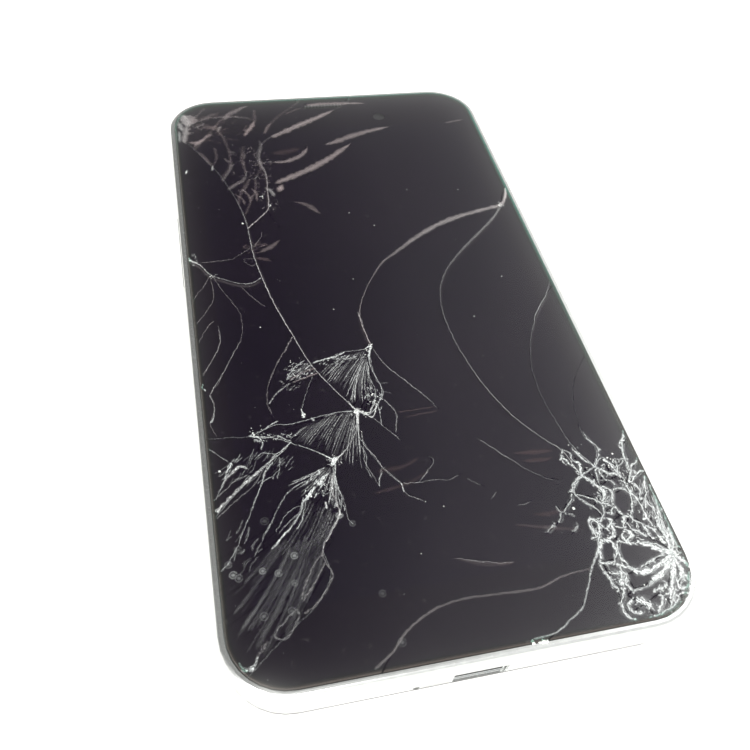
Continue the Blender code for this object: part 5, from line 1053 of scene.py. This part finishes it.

# %% [markdown]
# ## Streaks round the fans
# Between the sheaves single long splinters part from the glass. Each one is read, in mm: its course,
# its width, its strength and its warmth. Dashes are bright where a splinter stands up and catches the lamp.

# %% Streaks
STREAKS = [
    # points in mm, width, strength, reflected warmth (painted reflection)
    ([(-14.6, -12.7), (-13.5, -12.3), (-11.0, -11.9), (-8.8, -11.0)], 0.34, [0.5, 0.9, 1.2, 1.3], 0.0),
    ([(-4.1, -10.0), (-4.6, -11.4), (-5.0, -13.4)], [0.6, 0.5, 0.3], [1.0, 1.0, 0.6], 0.0),
    ([(-4.7, -12.8), (-4.9, -15.0), (-4.7, -17.5), (-4.2, -19.5), (-4.5, -21.3), (-5.5, -22.3)], 0.22,
     [0.6, 0.35, 0.3, 0.35, 0.4, 0.8], 0.0),
    ([(-5.4, -13.6), (-5.9, -16.0), (-5.4, -19.0), (-5.6, -21.0), (-6.4, -22.8), (-7.4, -24.2)], 0.2,
     [0.6, 0.5, 0.4, 0.6, 0.9, 0.9], 0.0),
    ([(-5.6, -22.2), (-6.5, -22.8), (-7.2, -24.0), (-8.4, -23.9)], 0.34, 0.9, 0.1),
    ([(-5.6, -22.3), (-6.6, -24.6), (-7.2, -24.9), (-8.0, -24.2), (-9.0, -23.5)], 0.34,
     [0.8, 1.1, 0.9, 1.1, 1.3], 0.1),
    ([(-5.5, -22.4), (-5.6, -24.2), (-5.8, -26.8)], 0.18, [0.6, 0.6, 0.4], 0.0),
    ([(-9.0, -23.3), (-9.2, -24.4), (-9.6, -26.0)], [0.8, 0.7, 0.3], [1.4, 1.3, 0.7], 0.1),
    ([(-10.2, -21.2), (-9.8, -22.4), (-9.2, -23.4)], 0.4, [0.5, 0.8, 1.0], 0.1),
    ([(-22.9, -20.0), (-21.5, -18.2), (-20.2, -17.2), (-18.8, -16.2)], 0.4, 0.4, 0.1),
    ([(-18.5, -16.2), (-16.0, -15.4), (-14.0, -14.8)], 0.4, 0.34, 0.5),
    ([(-18.9, -15.6), (-16.6, -14.4), (-14.4, -13.8)], 0.5, 0.2, 0.6),
    ([(-19.4, -15.6), (-18.6, -14.2), (-17.4, -12.9), (-15.7, -11.8)], 0.4, 0.5, 0.0),
    ([(-17.0, -6.3), (-18.6, -9.0), (-20.5, -12.0), (-22.0, -15.0), (-22.9, -18.0), (-23.0, -20.3),
      (-22.6, -22.0)], 0.34,
     [0.3, 0.26, 0.22, 0.16, 0.2], 0.3),
    ([(-15.0, -15.2), (-16.0, -17.3), (-17.0, -19.5), (-17.8, -21.7)], 0.16, 0.3, 0.0),
    ([(-17.9, -21.5), (-17.8, -23.5)], [0.25, 0.9], [0.9, 1.2], 0.0),
    ([(-16.7, -23.6), (-16.2, -24.3)], 0.6, 0.7, 0.0),
    ([(-14.6, -23.8), (-12.6, -23.2)], 0.4, 0.3, 0.0),
    ([(-26.7, -25.6), (-24.5, -24.8), (-23.0, -24.0), (-21.8, -23.4)], 0.3, [0.4, 0.35, 0.7, 0.9], 0.0),
    ([(-26.8, -25.5), (-25.2, -26.0), (-24.8, -27.0), (-25.1, -28.4)], 0.45, [0.6, 1.0, 0.7, 0.3], 0.0),
    ([(-25.2, -26.0), (-23.8, -26.3), (-22.4, -26.1), (-21.5, -26.8), (-20.3, -27.6)], 0.34, 0.5, 0.0),
    ([(-20.3, -27.6), (-21.5, -28.5), (-23.0, -29.4), (-25.0, -28.9), (-26.4, -30.0)], 0.3,
     [0.8, 0.9, 0.5, 0.4, 0.3], 0.0),
    ([(-20.8, -28.0), (-22.4, -29.4), (-24.5, -31.0), (-26.6, -32.6), (-29.0, -34.4), (-31.0, -36.2),
      (-32.8, -37.9)],
     [0.3, 0.3, 0.4, 0.7, 0.7, 0.5, 0.9], [0.4, 0.4, 0.5, 0.6, 0.5, 0.5, 0.9], 0.1),
    ([(-27.4, -31.3), (-28.6, -30.8), (-30.2, -32.0), (-31.6, -33.8)], [0.5, 0.7, 0.5, 0.4],
     [0.6, 0.8, 0.4, 0.3], 0.1),
    ([(-29.8, -29.8), (-30.6, -31.6), (-31.4, -33.5), (-32.6, -35.6)], [0.9, 0.5, 0.4, 0.4],
     [0.8, 0.5, 0.4, 0.2], 0.0),
    ([(-33.0, -26.8), (-31.5, -28.4), (-30.2, -29.8)], 0.25, 0.3, 0.0),
    ([(-23.6, -30.6), (-25.2, -32.6), (-25.6, -34.0), (-26.8, -36.4), (-28.0, -39.0), (-29.2, -41.4),
      (-30.3, -43.6), (-31.6, -45.8), (-33.0, -47.0)], 0.36, [0.6, 0.5, 0.5, 0.3, 0.28, 0.3, 0.3, 0.24], 0.0),
    ([(-22.5, -30.0), (-22.8, -32.0), (-23.4, -33.8)], 0.3, 0.3, 0.0),
    ([(-23.0, -29.4), (-24.6, -31.4), (-25.3, -33.2)], 0.4, 0.5, 0.1),
    ([(-27.5, -32.4), (-29.4, -33.0), (-31.6, -34.8), (-33.0, -36.0)], 0.34, 0.24, 0.1),
    ([(-25.2, -31.8), (-27.0, -34.4), (-30.0, -36.6), (-32.8, -39.0)], 0.3, 0.2, 0.1),
    ([(-20.0, -35.0), (-22.0, -36.2), (-23.5, -38.0), (-25.0, -40.5), (-26.4, -42.6), (-26.8, -43.6)], 0.34,
     [0.2, 0.34, 0.3, 0.26, 0.34, 0.2], 0.0),
    ([(-24.8, -42.4), (-23.0, -40.0), (-20.9, -38.8), (-20.8, -39.8), (-22.8, -41.2), (-24.4, -42.8)], 0.3,
     0.3, 0.0),
    ([(-20.0, -37.5), (-20.8, -39.8), (-22.3, -41.8), (-23.8, -43.2), (-25.7, -45.0)], 0.42,
     [0.7, 0.5, 0.5, 1.1, 0.3], 0.0),
    ([(-19.5, -37.2), (-20.0, -39.0), (-21.0, -41.5), (-21.8, -42.5)], 0.34, [0.5, 0.3, 0.5, 0.8], 0.0),
    ([(-18.0, -36.0), (-19.4, -37.6), (-20.1, -38.3)], [0.4, 0.8, 0.3], 1.2, 0.0),
    ([(-16.3, -34.4), (-17.6, -35.9)], 0.7, 1.1, 0.0),
    ([(-17.0, -38.7), (-16.9, -40.0)], 0.55, 0.8, 0.1),
    ([(-14.0, -31.4), (-14.5, -32.1), (-15.0, -32.8)], [0.7, 1.1, 0.6], 1.4, 0.0),
    ([(-14.8, -33.0), (-15.0, -36.0), (-14.4, -38.0), (-14.2, -40.0), (-14.2, -42.0), (-13.6, -43.1)], 0.22,
     [0.7, 0.4, 0.3, 0.25, 0.3, 0.35], 0.0),
    ([(-14.9, -34.0), (-15.7, -37.0), (-15.3, -39.5), (-15.4, -41.3), (-17.2, -44.0), (-18.6, -46.0),
      (-18.6, -48.0), (-17.9, -50.0), (-19.0, -52.0), (-21.0, -54.0), (-22.7, -54.9)], 0.4,
     [0.5, 0.3, 0.3, 0.9, 0.4, 0.5, 0.2, 0.2, 0.22, 0.22, 0.16], 0.2),
    ([(-18.7, -46.5), (-20.5, -48.6), (-22.2, -51.5), (-22.6, -53.0)], 0.45, 0.18, 0.2),
    ([(-18.5, -48.0), (-20.5, -50.8), (-22.6, -53.2)], 0.5, 0.2, 0.2),
    ([(-23.2, -55.0), (-24.6, -57.0), (-25.8, -57.8), (-26.8, -57.0), (-25.2, -55.4), (-23.6, -54.2),
      (-23.2, -55.0)],
     0.45, 0.17, 0.1),
    ([(-29.5, -59.6), (-27.8, -57.6)], 0.9, 0.12, 0.2),
    ([(-31.9, -59.7), (-31.4, -60.5), (-30.8, -61.1)], [0.4, 0.8, 0.9], [0.3, 0.6, 0.9], 0.0),
    ([(-29.2, -59.3), (-29.9, -60.3), (-30.7, -61.1)], [0.4, 0.9, 1.0], [0.3, 0.6, 0.8], 0.0),
    ([(-29.3, -2.0), (-29.1, -4.5), (-29.6, -7.0), (-31.0, -9.8), (-32.8, -12.6)], 0.16, 0.26, 0.1),
    ([(-25.8, -6.0), (-27.5, -9.0), (-29.0, -11.8), (-30.4, -14.2), (-31.8, -16.6)], 0.16,
     [0.2, 0.3, 0.35, 0.5, 0.6], 0.1),
    ([(-32.7, -14.2), (-32.9, -15.0), (-32.4, -15.9)], 0.4, 0.7, 0.0),
    ([(-31.9, -16.6), (-31.4, -19.0), (-31.6, -21.0), (-32.2, -22.2)], [0.2, 0.18, 0.2, 0.6],
     [0.4, 0.3, 0.3, 1.0], 0.0),
    ([(-9.6, -26.0), (-9.8, -28.0), (-9.2, -30.0), (-8.2, -32.5), (-7.2, -34.8), (-5.2, -37.6)], 0.22,
     [0.5, 0.4, 0.3, 0.24, 0.24, 0.4], 0.0),
    ([(-10.0, -29.5), (-9.4, -32.0), (-9.8, -34.0), (-9.3, -36.0)], 0.2, 0.34, 0.0),
    ([(-7.6, -35.0), (-8.3, -36.4), (-8.6, -37.7)], 0.24, 0.5, 0.0),
    ([(-4.3, -21.8), (-3.6, -23.2), (-3.0, -24.6), (-3.2, -26.0), (-3.9, -28.4)], 0.2,
     [0.3, 0.3, 0.25, 0.3, 0.5], 0.1),
    ([(-4.3, -18.4), (-2.8, -18.6)], 0.2, 0.2, 0.0),
    ([(-4.4, -20.2), (-2.8, -20.8)], 0.2, 0.2, 0.0),
    ([(-5.2, -37.4), (-5.1, -39.2)], 0.4, 0.6, 0.0),
    ([(-4.8, -2.2), (-4.6, -4.6), (-4.5, -7.0), (-4.2, -9.8)], [0.5, 0.4, 0.2, 0.2], [0.4, 0.3, 0.2, 0.5],
     0.2),
]
streaks_seen = [ribbon(in_mm(on_glass(line)), 0.85 * np.atleast_1d(width), 0.75 * np.atleast_1d(strength),
                       reflected_warmth, 0.8, ends=(0.3, 0.3), wobble=0.05, kind="splinter", swelling=0.5)
                for line, width, strength, reflected_warmth in STREAKS]
join_ribbons("long_splinters", streaks_seen, crack_frost)

# %% [markdown]
# ## Crushed places
# Round the knots the glass is broken into crumbs: short cracks at all angles, each a fraction of a millimetre
# to two millimetres long. Each place is an oval with its own number, length, direction and strength.

# %% Short cracks
CRUSHED = [
    # middle in mm, reach in mm, count, length, direction in degrees, spread, width, strength, reflected
    # warmth (painted reflection)
    ((-29.5, 56.5), (2.6, 4.0), 70, 1.4, 60, 50, 0.35, 0.14, 0.4),
    ((-23.5, 55.0), (6.0, 5.5), 60, 2.6, 20, 30, 0.4, 0.05, 0.8),
    ((-19.0, 40.0), (4.5, 9.0), 110, 1.6, 45, 60, 0.28, 0.10, 0.5),
    ((-16.5, 30.0), (1.8, 4.0), 40, 0.9, 50, 60, 0.16, 0.25, 0.3),
    ((-32.2, 14.6), (0.9, 1.6), 26, 0.8, 0, 90, 0.16, 0.35, 0.0),
    ((-29.5, 10.2), (1.2, 0.8), 14, 0.7, 0, 60, 0.14, 0.4, 0.0),
    ((-21.0, 16.5), (2.4, 1.4), 22, 1.8, 25, 20, 0.25, 0.16, 0.7),
    ((-17.0, -13.8), (2.6, 1.8), 60, 0.9, 30, 45, 0.22, 0.62, 0.1),
    ((-18.6, -16.4), (2.0, 1.6), 30, 0.9, 40, 40, 0.16, 0.3, 0.1),
    ((-9.8, -12.6), (4.4, 0.8), 60, 0.8, 20, 30, 0.2, 0.62, 0.0),
    ((-6.0, -21.5), (1.4, 2.6), 40, 1.1, 75, 30, 0.18, 0.6, 0.0),
    ((-9.2, -23.6), (1.2, 0.9), 30, 0.7, 0, 90, 0.2, 0.8, 0.1),
    ((-14.4, -32.0), (1.2, 1.1), 30, 0.7, 0, 90, 0.2, 0.8, 0.1),
    ((-23.0, -26.2), (3.6, 0.9), 44, 0.8, 160, 40, 0.2, 0.55, 0.0),
    ((-26.0, -31.4), (5.6, 2.6), 60, 2.6, 48, 10, 0.16, 0.22, 0.0),
    ((-17.4, -35.6), (2.4, 2.2), 46, 1.3, 55, 18, 0.2, 0.6, 0.0),
    ((-15.2, -38.6), (1.0, 3.0), 26, 1.4, 82, 18, 0.16, 0.34, 0.0),
    ((-29.5, -44.0), (2.6, 3.4), 20, 2.6, 55, 12, 0.3, 0.12, 0.0),
    ((26.0, -40.6), (2.8, 1.6), 36, 1.0, 60, 60, 0.2, 0.6, 0.0),
    ((24.7, -44.6), (1.2, 2.2), 50, 0.9, 60, 60, 0.2, 0.7, 0.0),
    ((29.6, -41.6), (1.8, 2.6), 56, 1.0, 65, 50, 0.2, 0.6, 0.0),
    ((30.6, -47.5), (1.6, 4.0), 50, 1.4, 70, 30, 0.18, 0.5, 0.0),
    ((27.5, -51.4), (2.2, 1.3), 46, 0.9, 30, 60, 0.2, 0.7, 0.0),
    ((31.6, -48.0), (1.0, 5.0), 50, 1.8, 75, 12, 0.16, 0.5, 0.0),
    ((32.0, -54.8), (1.0, 3.0), 40, 1.2, 60, 60, 0.25, 0.8, 0.0),
    ((21.8, -58.0), (1.6, 2.2), 50, 0.9, 50, 60, 0.22, 0.6, 0.0),
    ((29.0, -60.6), (2.8, 2.2), 36, 1.3, 55, 30, 0.25, 0.55, 0.0),
    ((24.4, -62.4), (2.2, 1.3), 26, 0.9, 20, 60, 0.25, 0.5, 0.0),
    ((23.6, -50.4), (2.8, 1.8), 50, 0.8, 70, 60, 0.2, 0.5, 0.0),
    ((30.3, 23.0), (0.9, 0.9), 16, 0.8, 0, 90, 0.2, 0.6, 0.0),
]
crumbs = []
for (cx, cy), (rx, ry), count, length, heading, spread, width, strength, reflected_warmth in CRUSHED:
    turn = chance.uniform(0, 2 * np.pi, count)
    out = np.sqrt(chance.uniform(0, 1, count))
    x, y = cx + rx * out * np.cos(turn), cy + ry * out * np.sin(turn)
    way = np.radians(heading + chance.normal(0, spread, count))
    half = length * chance.uniform(0.3, 1.0, count) / 2
    bend = chance.normal(0, 0.18, count) * half
    for k in range(count):
        along = np.array([np.cos(way[k]), np.sin(way[k])])
        aside = np.array([-along[1], along[0]])
        middle = np.array([x[k], y[k]])
        line = np.array([middle - along * half[k], middle + aside * bend[k], middle + along * half[k]])
        crumbs.append(ribbon(in_mm(on_glass(line)), width * chance.uniform(0.5, 1.4),
                             strength * chance.uniform(0.3, 1.5),
                             reflected_warmth, 0.7, ends=(0.3, 0.3), wobble=0.02, kind="crushed"))
join_ribbons("crushed_glass", crumbs, crack_frost)

# %% [markdown]
# ## Soft bands
# Where a crack runs flat under the surface it mirrors a strip of the room: wide, soft, pinkish or brown bands
# without any sparkle. They are lens shaped, so their width swells from nothing and back.

# %% Bands under the surface
BANDS = [
    # points in mm, width, strength, reflected warmth (painted reflection)
    ([(-31.9, 61.0), (-30.9, 59.4), (-30.5, 57.6), (-30.7, 56.0)], [1.3, 2.2, 2.2, 1.2], 0.36, 0.3),
    ([(-29.8, 60.6), (-29.2, 58.8), (-29.4, 57.0)], [0.9, 1.5, 0.9], 0.2, 0.5),
    ([(-32.4, 58.4), (-32.0, 56.2), (-31.6, 54.2)], [0.8, 1.1, 0.7], 0.26, 0.2),
    ([(-30.6, 57.0), (-31.2, 53.5), (-31.6, 51.0), (-31.2, 50.0)], [1.0, 1.0, 1.3, 0.6], 0.26, 0.3),
    ([(-32.4, 55.0), (-32.6, 50.5)], [0.7, 0.6], 0.25, 0.1),
    ([(-31.0, 50.8), (-29.0, 50.3), (-27.2, 51.6)], [0.8, 1.3, 0.8], 0.26, 0.6),
    ([(-29.8, 48.4), (-29.0, 50.0), (-27.0, 52.0), (-25.2, 53.6)], [0.7, 1.0, 1.0, 0.6], 0.2, 0.6),
    ([(-27.4, 55.8), (-25.4, 55.4), (-23.6, 54.8)], [1.2, 1.8, 1.0], 0.14, 0.7),
    ([(-24.2, 53.6), (-24.0, 54.9), (-23.4, 56.0)], 0.8, 0.24, 0.4),
    ([(-22.6, 57.6), (-21.8, 59.6), (-19.8, 61.0), (-18.2, 62.3), (-16.6, 62.9)], [0.9, 1.3, 1.2, 1.2, 0.7],
     0.16, 0.5),
    ([(-27.5, 58.2), (-25.6, 59.8), (-23.8, 60.8)], [0.7, 1.2, 0.7], 0.08, 0.6),
    ([(-18.9, 51.4), (-18.0, 53.4), (-16.8, 55.4), (-16.1, 57.2)], [0.7, 1.1, 1.0, 0.6], 0.26, 0.65),
    ([(-14.7, 51.8), (-13.8, 54.0), (-12.6, 56.2)], [0.5, 0.8, 0.5], 0.12, 0.6),
    ([(-13.4, 50.6), (-10.5, 52.2), (-7.0, 54.3), (-3.0, 56.5), (0.0, 58.3), (2.2, 59.6)],
     [1.2, 1.3, 1.5, 1.4, 1.2, 0.6], 0.3, 0.55),
    ([(-13.0, 50.6), (-12.4, 51.6)], 1.0, 0.3, 0.0),
    ([(-4.2, 61.9), (0.0, 62.1), (5.0, 61.9), (10.0, 61.5)], [0.8, 1.3, 1.1, 0.5], 0.24, 0.55),
    ([(-9.4, 58.6), (-7.0, 60.2), (-4.6, 61.2)], [0.5, 0.9, 0.5], 0.08, 0.7),
    ([(-16.0, 50.2), (-15.8, 48.0), (-16.7, 45.0), (-16.8, 42.0), (-16.0, 39.0)], [0.6, 0.8, 0.9, 0.9, 0.6],
     0.07, 0.3),
    ([(-14.6, 41.0), (-14.4, 42.6)], 0.8, 0.14, 0.6),
    ([(-14.5, 42.0), (-11.5, 42.0), (-9.0, 43.0), (-7.3, 44.3), (-6.0, 46.6)], [0.6, 1.1, 1.3, 1.1, 0.5],
     0.25, 0.55),
    ([(-14.0, 45.0), (-10.5, 45.4), (-7.4, 46.4)], [1.6, 2.2, 1.0], 0.05, 0.9),
    ([(-2.2, 46.8), (0.5, 47.8), (3.5, 49.2), (8.0, 50.8), (13.5, 52.2)], [0.8, 1.5, 1.4, 1.3, 0.5], 0.24,
     0.55),
    ([(-14.0, 32.2), (-13.2, 34.8)], [1.4, 1.2], 0.42, 0.6),
    ([(-14.6, 35.0), (-12.0, 36.3), (-8.0, 38.3), (-4.0, 40.8), (-1.0, 43.0), (2.0, 45.6), (3.8, 47.0)],
     [1.2, 1.4, 1.5, 1.6, 1.4, 1.1, 0.4], 0.3, 0.55),
    ([(-26.7, 40.4), (-26.4, 42.4)], 0.7, 0.5, 0.1),
    ([(-31.9, 39.9), (-31.7, 41.4)], 0.7, 1.4, 0.0),
    ([(-20.0, 38.1), (-19.8, 39.5)], 0.5, 0.5, 0.2),
    ([(-18.6, 36.8), (-17.6, 38.0)], 0.6, 0.7, 0.1),
    ([(-16.4, 37.6), (-15.8, 38.8)], 0.7, 0.26, 0.0),
    ([(-23.0, 46.8), (-21.2, 45.8)], 1.2, 0.09, 0.4),
    ([(-24.0, 44.6), (-22.8, 42.6)], 1.0, 0.13, 0.5),
    ([(-24.9, 36.4), (-24.5, 38.0), (-23.0, 40.5), (-22.5, 43.0)], 0.7, 0.10, 0.4),
    ([(-24.2, 33.8), (-22.6, 35.5), (-21.0, 36.5), (-20.0, 38.5)], 0.9, 0.11, 0.4),
    ([(-16.8, 34.2), (-15.6, 32.8), (-15.2, 30.8)], 0.8, 0.24, 0.2),
    ([(-29.0, 47.4), (-27.6, 44.6), (-26.6, 42.0)], 0.8, 0.10, 0.6),
    ([(-19.9, 43.4), (-19.5, 46.0)], 0.7, 0.10, 0.5),
    ([(-23.2, 33.0), (-21.6, 31.0), (-21.2, 28.8)], 0.5, 0.14, 0.6),
    ([(-21.6, 34.6), (-20.2, 32.0), (-20.0, 29.4)], 0.5, 0.14, 0.6),
    ([(-19.6, 34.4), (-18.6, 32.4), (-18.8, 29.8)], 0.5, 0.16, 0.6),
    ([(-11.8, 29.2), (-9.0, 27.6), (-6.6, 24.4)], [0.5, 1.2, 0.4], 0.14, 0.6),
    ([(26.0, 52.2), (31.0, 53.2)], [0.9, 0.7], 0.13, 0.5),
    ([(-20.6, 15.0), (-18.0, 16.4), (-15.6, 18.4)], [0.3, 1.1, 0.6], 0.16, 0.6),
    ([(-21.2, 13.9), (-19.4, 13.4), (-17.8, 12.4)], [0.8, 1.0, 0.3], 0.1, 0.8),
    ([(-3.2, -24.6), (4.2, -24.4)], [0.35, 0.3], 0.13, 0.9),
    ([(-2.6, -25.8), (4.4, -25.2)], [0.3, 0.3], 0.12, 0.9),
    ([(13.0, -35.0), (16.5, -35.4), (20.5, -35.6)], [0.3, 0.9, 0.5], 0.08, 1.0),
    ([(14.0, -36.6), (17.5, -37.0), (20.0, -36.8)], [0.3, 0.8, 0.3], 0.08, 1.0),
    ([(12.5, -45.8), (15.5, -46.2), (18.5, -45.9)], [0.3, 0.8, 0.3], 0.06, 1.0),
    ([(9.5, -47.0), (14.0, -48.2), (20.0, -49.8)], [0.4, 0.8, 0.4], 0.06, 0.8),
    ([(5.0, -52.6), (8.2, -52.8)], [0.8, 0.5], 0.05, 1.0),
    ([(-1.0, -50.4), (3.5, -52.2), (8.5, -52.9)], [0.4, 0.8, 0.4], 0.05, 0.6),
    ([(-9.0, -35.0), (-4.0, -34.6), (-1.0, -33.2)], [0.6, 0.9, 0.4], 0.05, 0.9),
    ([(-10.0, -38.6), (-4.0, -37.6), (0.0, -35.8)], [0.4, 0.8, 0.4], 0.05, 0.9),
]
bands = [ribbon(in_mm(line), 1.5 * np.atleast_1d(width), 0.95 * np.atleast_1d(strength), reflected_warmth, 0.0,
                ends=(1.6, 1.6), wobble=0.04, kind="band")
         for line, width, strength, reflected_warmth in BANDS]
join_ribbons("soft_bands", bands, crack_frost)

# %% [markdown]
# ## Painted glint discs and dust
# Small soft discs, each with a pale ring, are painted glints, drawn like shallow round pits. Dust lies
# everywhere as tiny crumbs, and the brightest sparkles sit on the knots.

# %% Painted glint discs
# across and up in mm, strength
GLINT_DISCS = [(-31.3, -47.8, 0.4), (-27.3, -47.9, 0.4), (-25.2, -48.6, 0.3), (-22.7, -46.4, 0.4),
        (-23.2, -50.4, 0.22),
        (-27.9, -54.3, 0.16), (-24.2, -54.2, 0.14), (-11.7, -54.0, 0.12), (-10.6, -61.0, 0.12),
        (-30.6, -48.4, 0.2),
        (-31.8, -46.2, 0.2), (-26.1, -40.4, 0.1), (-30.3, -44.2, 0.14), (-13.7, -42.9, 0.2),
        (-15.4, -41.3, 0.6)]
ring_turn = np.linspace(0, 2 * np.pi, 13)
glint_discs = []
# Each disc is a painted glint: a pale ring and a soft fill in the frost colour.
for x, y, strength in GLINT_DISCS:
    radius = chance.uniform(0.4, 0.56)
    circle_line = np.column_stack([x + radius * np.cos(ring_turn), y + radius * np.sin(ring_turn)])
    glint_discs.append(ribbon(in_mm(circle_line), 0.3, 0.4 * strength, 0.0, 0.0, ends=(0, 0), wobble=0.0,
                       kind="pit rim"))
    disc_line = np.array([(x - 0.75 * radius, y), (x, y), (x + 0.75 * radius, y)])
    glint_discs.append(ribbon(in_mm(disc_line), 1.5 * radius, 0.6 * strength, 0.0, 0.0, ends=(0.3, 0.3),
                       wobble=0.0, kind="pit"))
join_ribbons("painted_glint_discs", glint_discs, crack_frost)

# %% Crumbs of glass and dust
TALL = 0.55
CRUMB = np.array([(1, 0, 0), (0, 1, 0), (-1, 0, 0), (0, -1, 0), (0, 0, TALL), (0, 0, -TALL)])
CRUMB_FACES = np.array([(0, 1, 4), (1, 2, 4), (2, 3, 4), (3, 0, 4), (1, 0, 5), (2, 1, 5), (3, 2, 5),
                        (0, 3, 5)])


def scatter(name, places, sizes, material):
    """A crumb at each place: the same 6 points, stretched and turned by chance, with its tip just under the
    glass."""
    places, sizes = np.asarray(places, float), np.asarray(sizes, float)
    count = len(places)
    stretch = chance.uniform(0.6, 1.3, (count, 3)) * sizes[:, None]
    turn = chance.uniform(0, np.pi, count)
    shape = CRUMB[None] * stretch[:, None]
    x = shape[..., 0] * np.cos(turn)[:, None] - shape[..., 1] * np.sin(turn)[:, None] + places[:, None, 0]
    y = shape[..., 0] * np.sin(turn)[:, None] + shape[..., 1] * np.cos(turn)[:, None] + places[:, None, 1]
    z = shape[..., 2] + TOP["grain"] - TALL * stretch[:, None, 2]
    faces = (CRUMB_FACES[None] + 6 * np.arange(count)[:, None, None]).reshape(-1, 3)
    print(name, "has", count, "crumbs")
    return make_piece(name, np.stack([x, y, z], axis=-1).reshape(-1, 3) * MM, faces, material, smooth=False)


crumb_glass, tree = new_material("crushed glass grains")
place = add_node(tree, "ShaderNodeTexCoord").outputs["Object"]
spark = noise(tree, place, 4000.0, 2.0)
white = ramp(tree, spark, (0.35, hex_colour("#b7bfba")), (0.6, hex_colour("#f4f6f2")))
shader = add_node(tree, "ShaderNodeBsdfPrincipled", {"Base Color": white, "Roughness": 0.25})
add_node(tree, "ShaderNodeOutputMaterial", {"Surface": shader.outputs[0]})
# middle in mm, count, spread in mm, size in mm
KNOTS = [((-4.3, -10.2), 9, 0.5, 0.16), ((-5.2, -12.0), 8, 0.6, 0.12), ((-9.2, -23.4), 16, 0.5, 0.22),
         ((-8.0, -24.2), 8, 0.5, 0.15), ((-14.3, -32.0), 14, 0.45, 0.2), ((-6.0, -21.0), 9, 1.2, 0.13),
         ((-19.3, -37.5), 6, 0.7, 0.16), ((-16.4, -36.5), 8, 1.2, 0.15), ((-24.5, -25.5), 8, 1.5, 0.11),
         ((-17.4, -12.4), 10, 2.0, 0.1), ((30.3, 23.0), 6, 0.35, 0.2), ((-31.8, 40.5), 2, 0.15, 0.24),
         ((-33.0, 14.8), 6, 0.4, 0.18), ((-29.5, 10.0), 5, 0.5, 0.13), ((-22.2, 23.6), 4, 0.3, 0.14),
         ((-16.4, 28.2), 5, 0.4, 0.16), ((-17.6, 31.2), 4, 0.4, 0.15), ((31.6, -55.6), 26, 1.1, 0.26),
         ((31.0, -53.0), 14, 0.9, 0.2), ((6.8, -64.3), 5, 0.3, 0.34), ((8.1, -64.3), 6, 0.35, 0.36),
         ((24.0, -36.0), 8, 1.4, 0.14), ((28.8, -39.0), 8, 1.2, 0.16), ((19.5, -46.0), 3, 0.3, 0.24),
         ((29.6, -43.6), 8, 1.4, 0.16), ((21.8, -52.4), 6, 1.0, 0.16), ((27.0, -60.5), 8, 1.4, 0.16),
         ((-17.6, -22.9), 3, 0.35, 0.2), ((-26.2, -25.0), 3, 0.5, 0.16), ((-31.6, -31.0), 2, 0.2, 0.2)]
knot_places = np.concatenate([np.array(at) + chance.normal(0, spread * 0.5, (count, 2))
                              for at, count, spread, size in KNOTS])
knot_sizes = np.concatenate([size * chance.uniform(0.4, 1.1, count) for at, count, spread, size in KNOTS])
GRAINS_FROM, GRAINS_TO = (-32.9, -64.6), (32.9, 63.9)
scatter("bright_grains", np.clip(knot_places, GRAINS_FROM, GRAINS_TO), knot_sizes, crumb_glass)
DUST = 260
SPECKS = np.array([(-22.2, -3.4), (15.8, -6.1), (-1.2, 24.3), (22.7, 28.8), (26.5, 11.0), (-8.9, -1.0),
                   (-5.0, -49.2),
                   (-2.3, -41.2), (0.2, -42.4), (3.0, 20.0), (12.0, 30.0), (-4.0, 6.0), (24.0, 3.0),
                   (18.0, 14.0)])
loose = np.column_stack([chance.uniform(-32, 32, DUST), chance.uniform(-63, 63, DUST)])
speck_sizes = np.concatenate([chance.uniform(0.08, 0.16, len(SPECKS)), chance.uniform(0.01, 0.04, DUST)])
scatter("dust_specks", np.concatenate([SPECKS, loose]), speck_sizes, crumb_glass)

# %% [markdown]
# ## Haze
# The photograph is veiled: the white table is so bright that its light spills over the phone's edges inside
# the lens. A fog glow on the finished picture does the same, and a trace of blur takes off the drawn
# sharpness.

# %% Lens haze
scene = bpy.context.scene
scene.use_nodes = True
tree = scene.node_tree
tree.nodes.clear()
layers = add_node(tree, "CompositorNodeRLayers").outputs["Image"]
soft = add_node(tree, "CompositorNodeBlur", {"Image": layers}, filter_type="GAUSS", size_x=1,
                size_y=1).outputs[0]
glow = add_node(tree, "CompositorNodeGlare", {"Image": soft}, glare_type="FOG_GLOW",
                quality="HIGH").outputs[0]
add_node(tree, "CompositorNodeComposite", {"Image": glow})
# A look through the corner crosses many see-through strips, one above the other.
scene.cycles.transparent_max_bounces = 32
print("haze on")
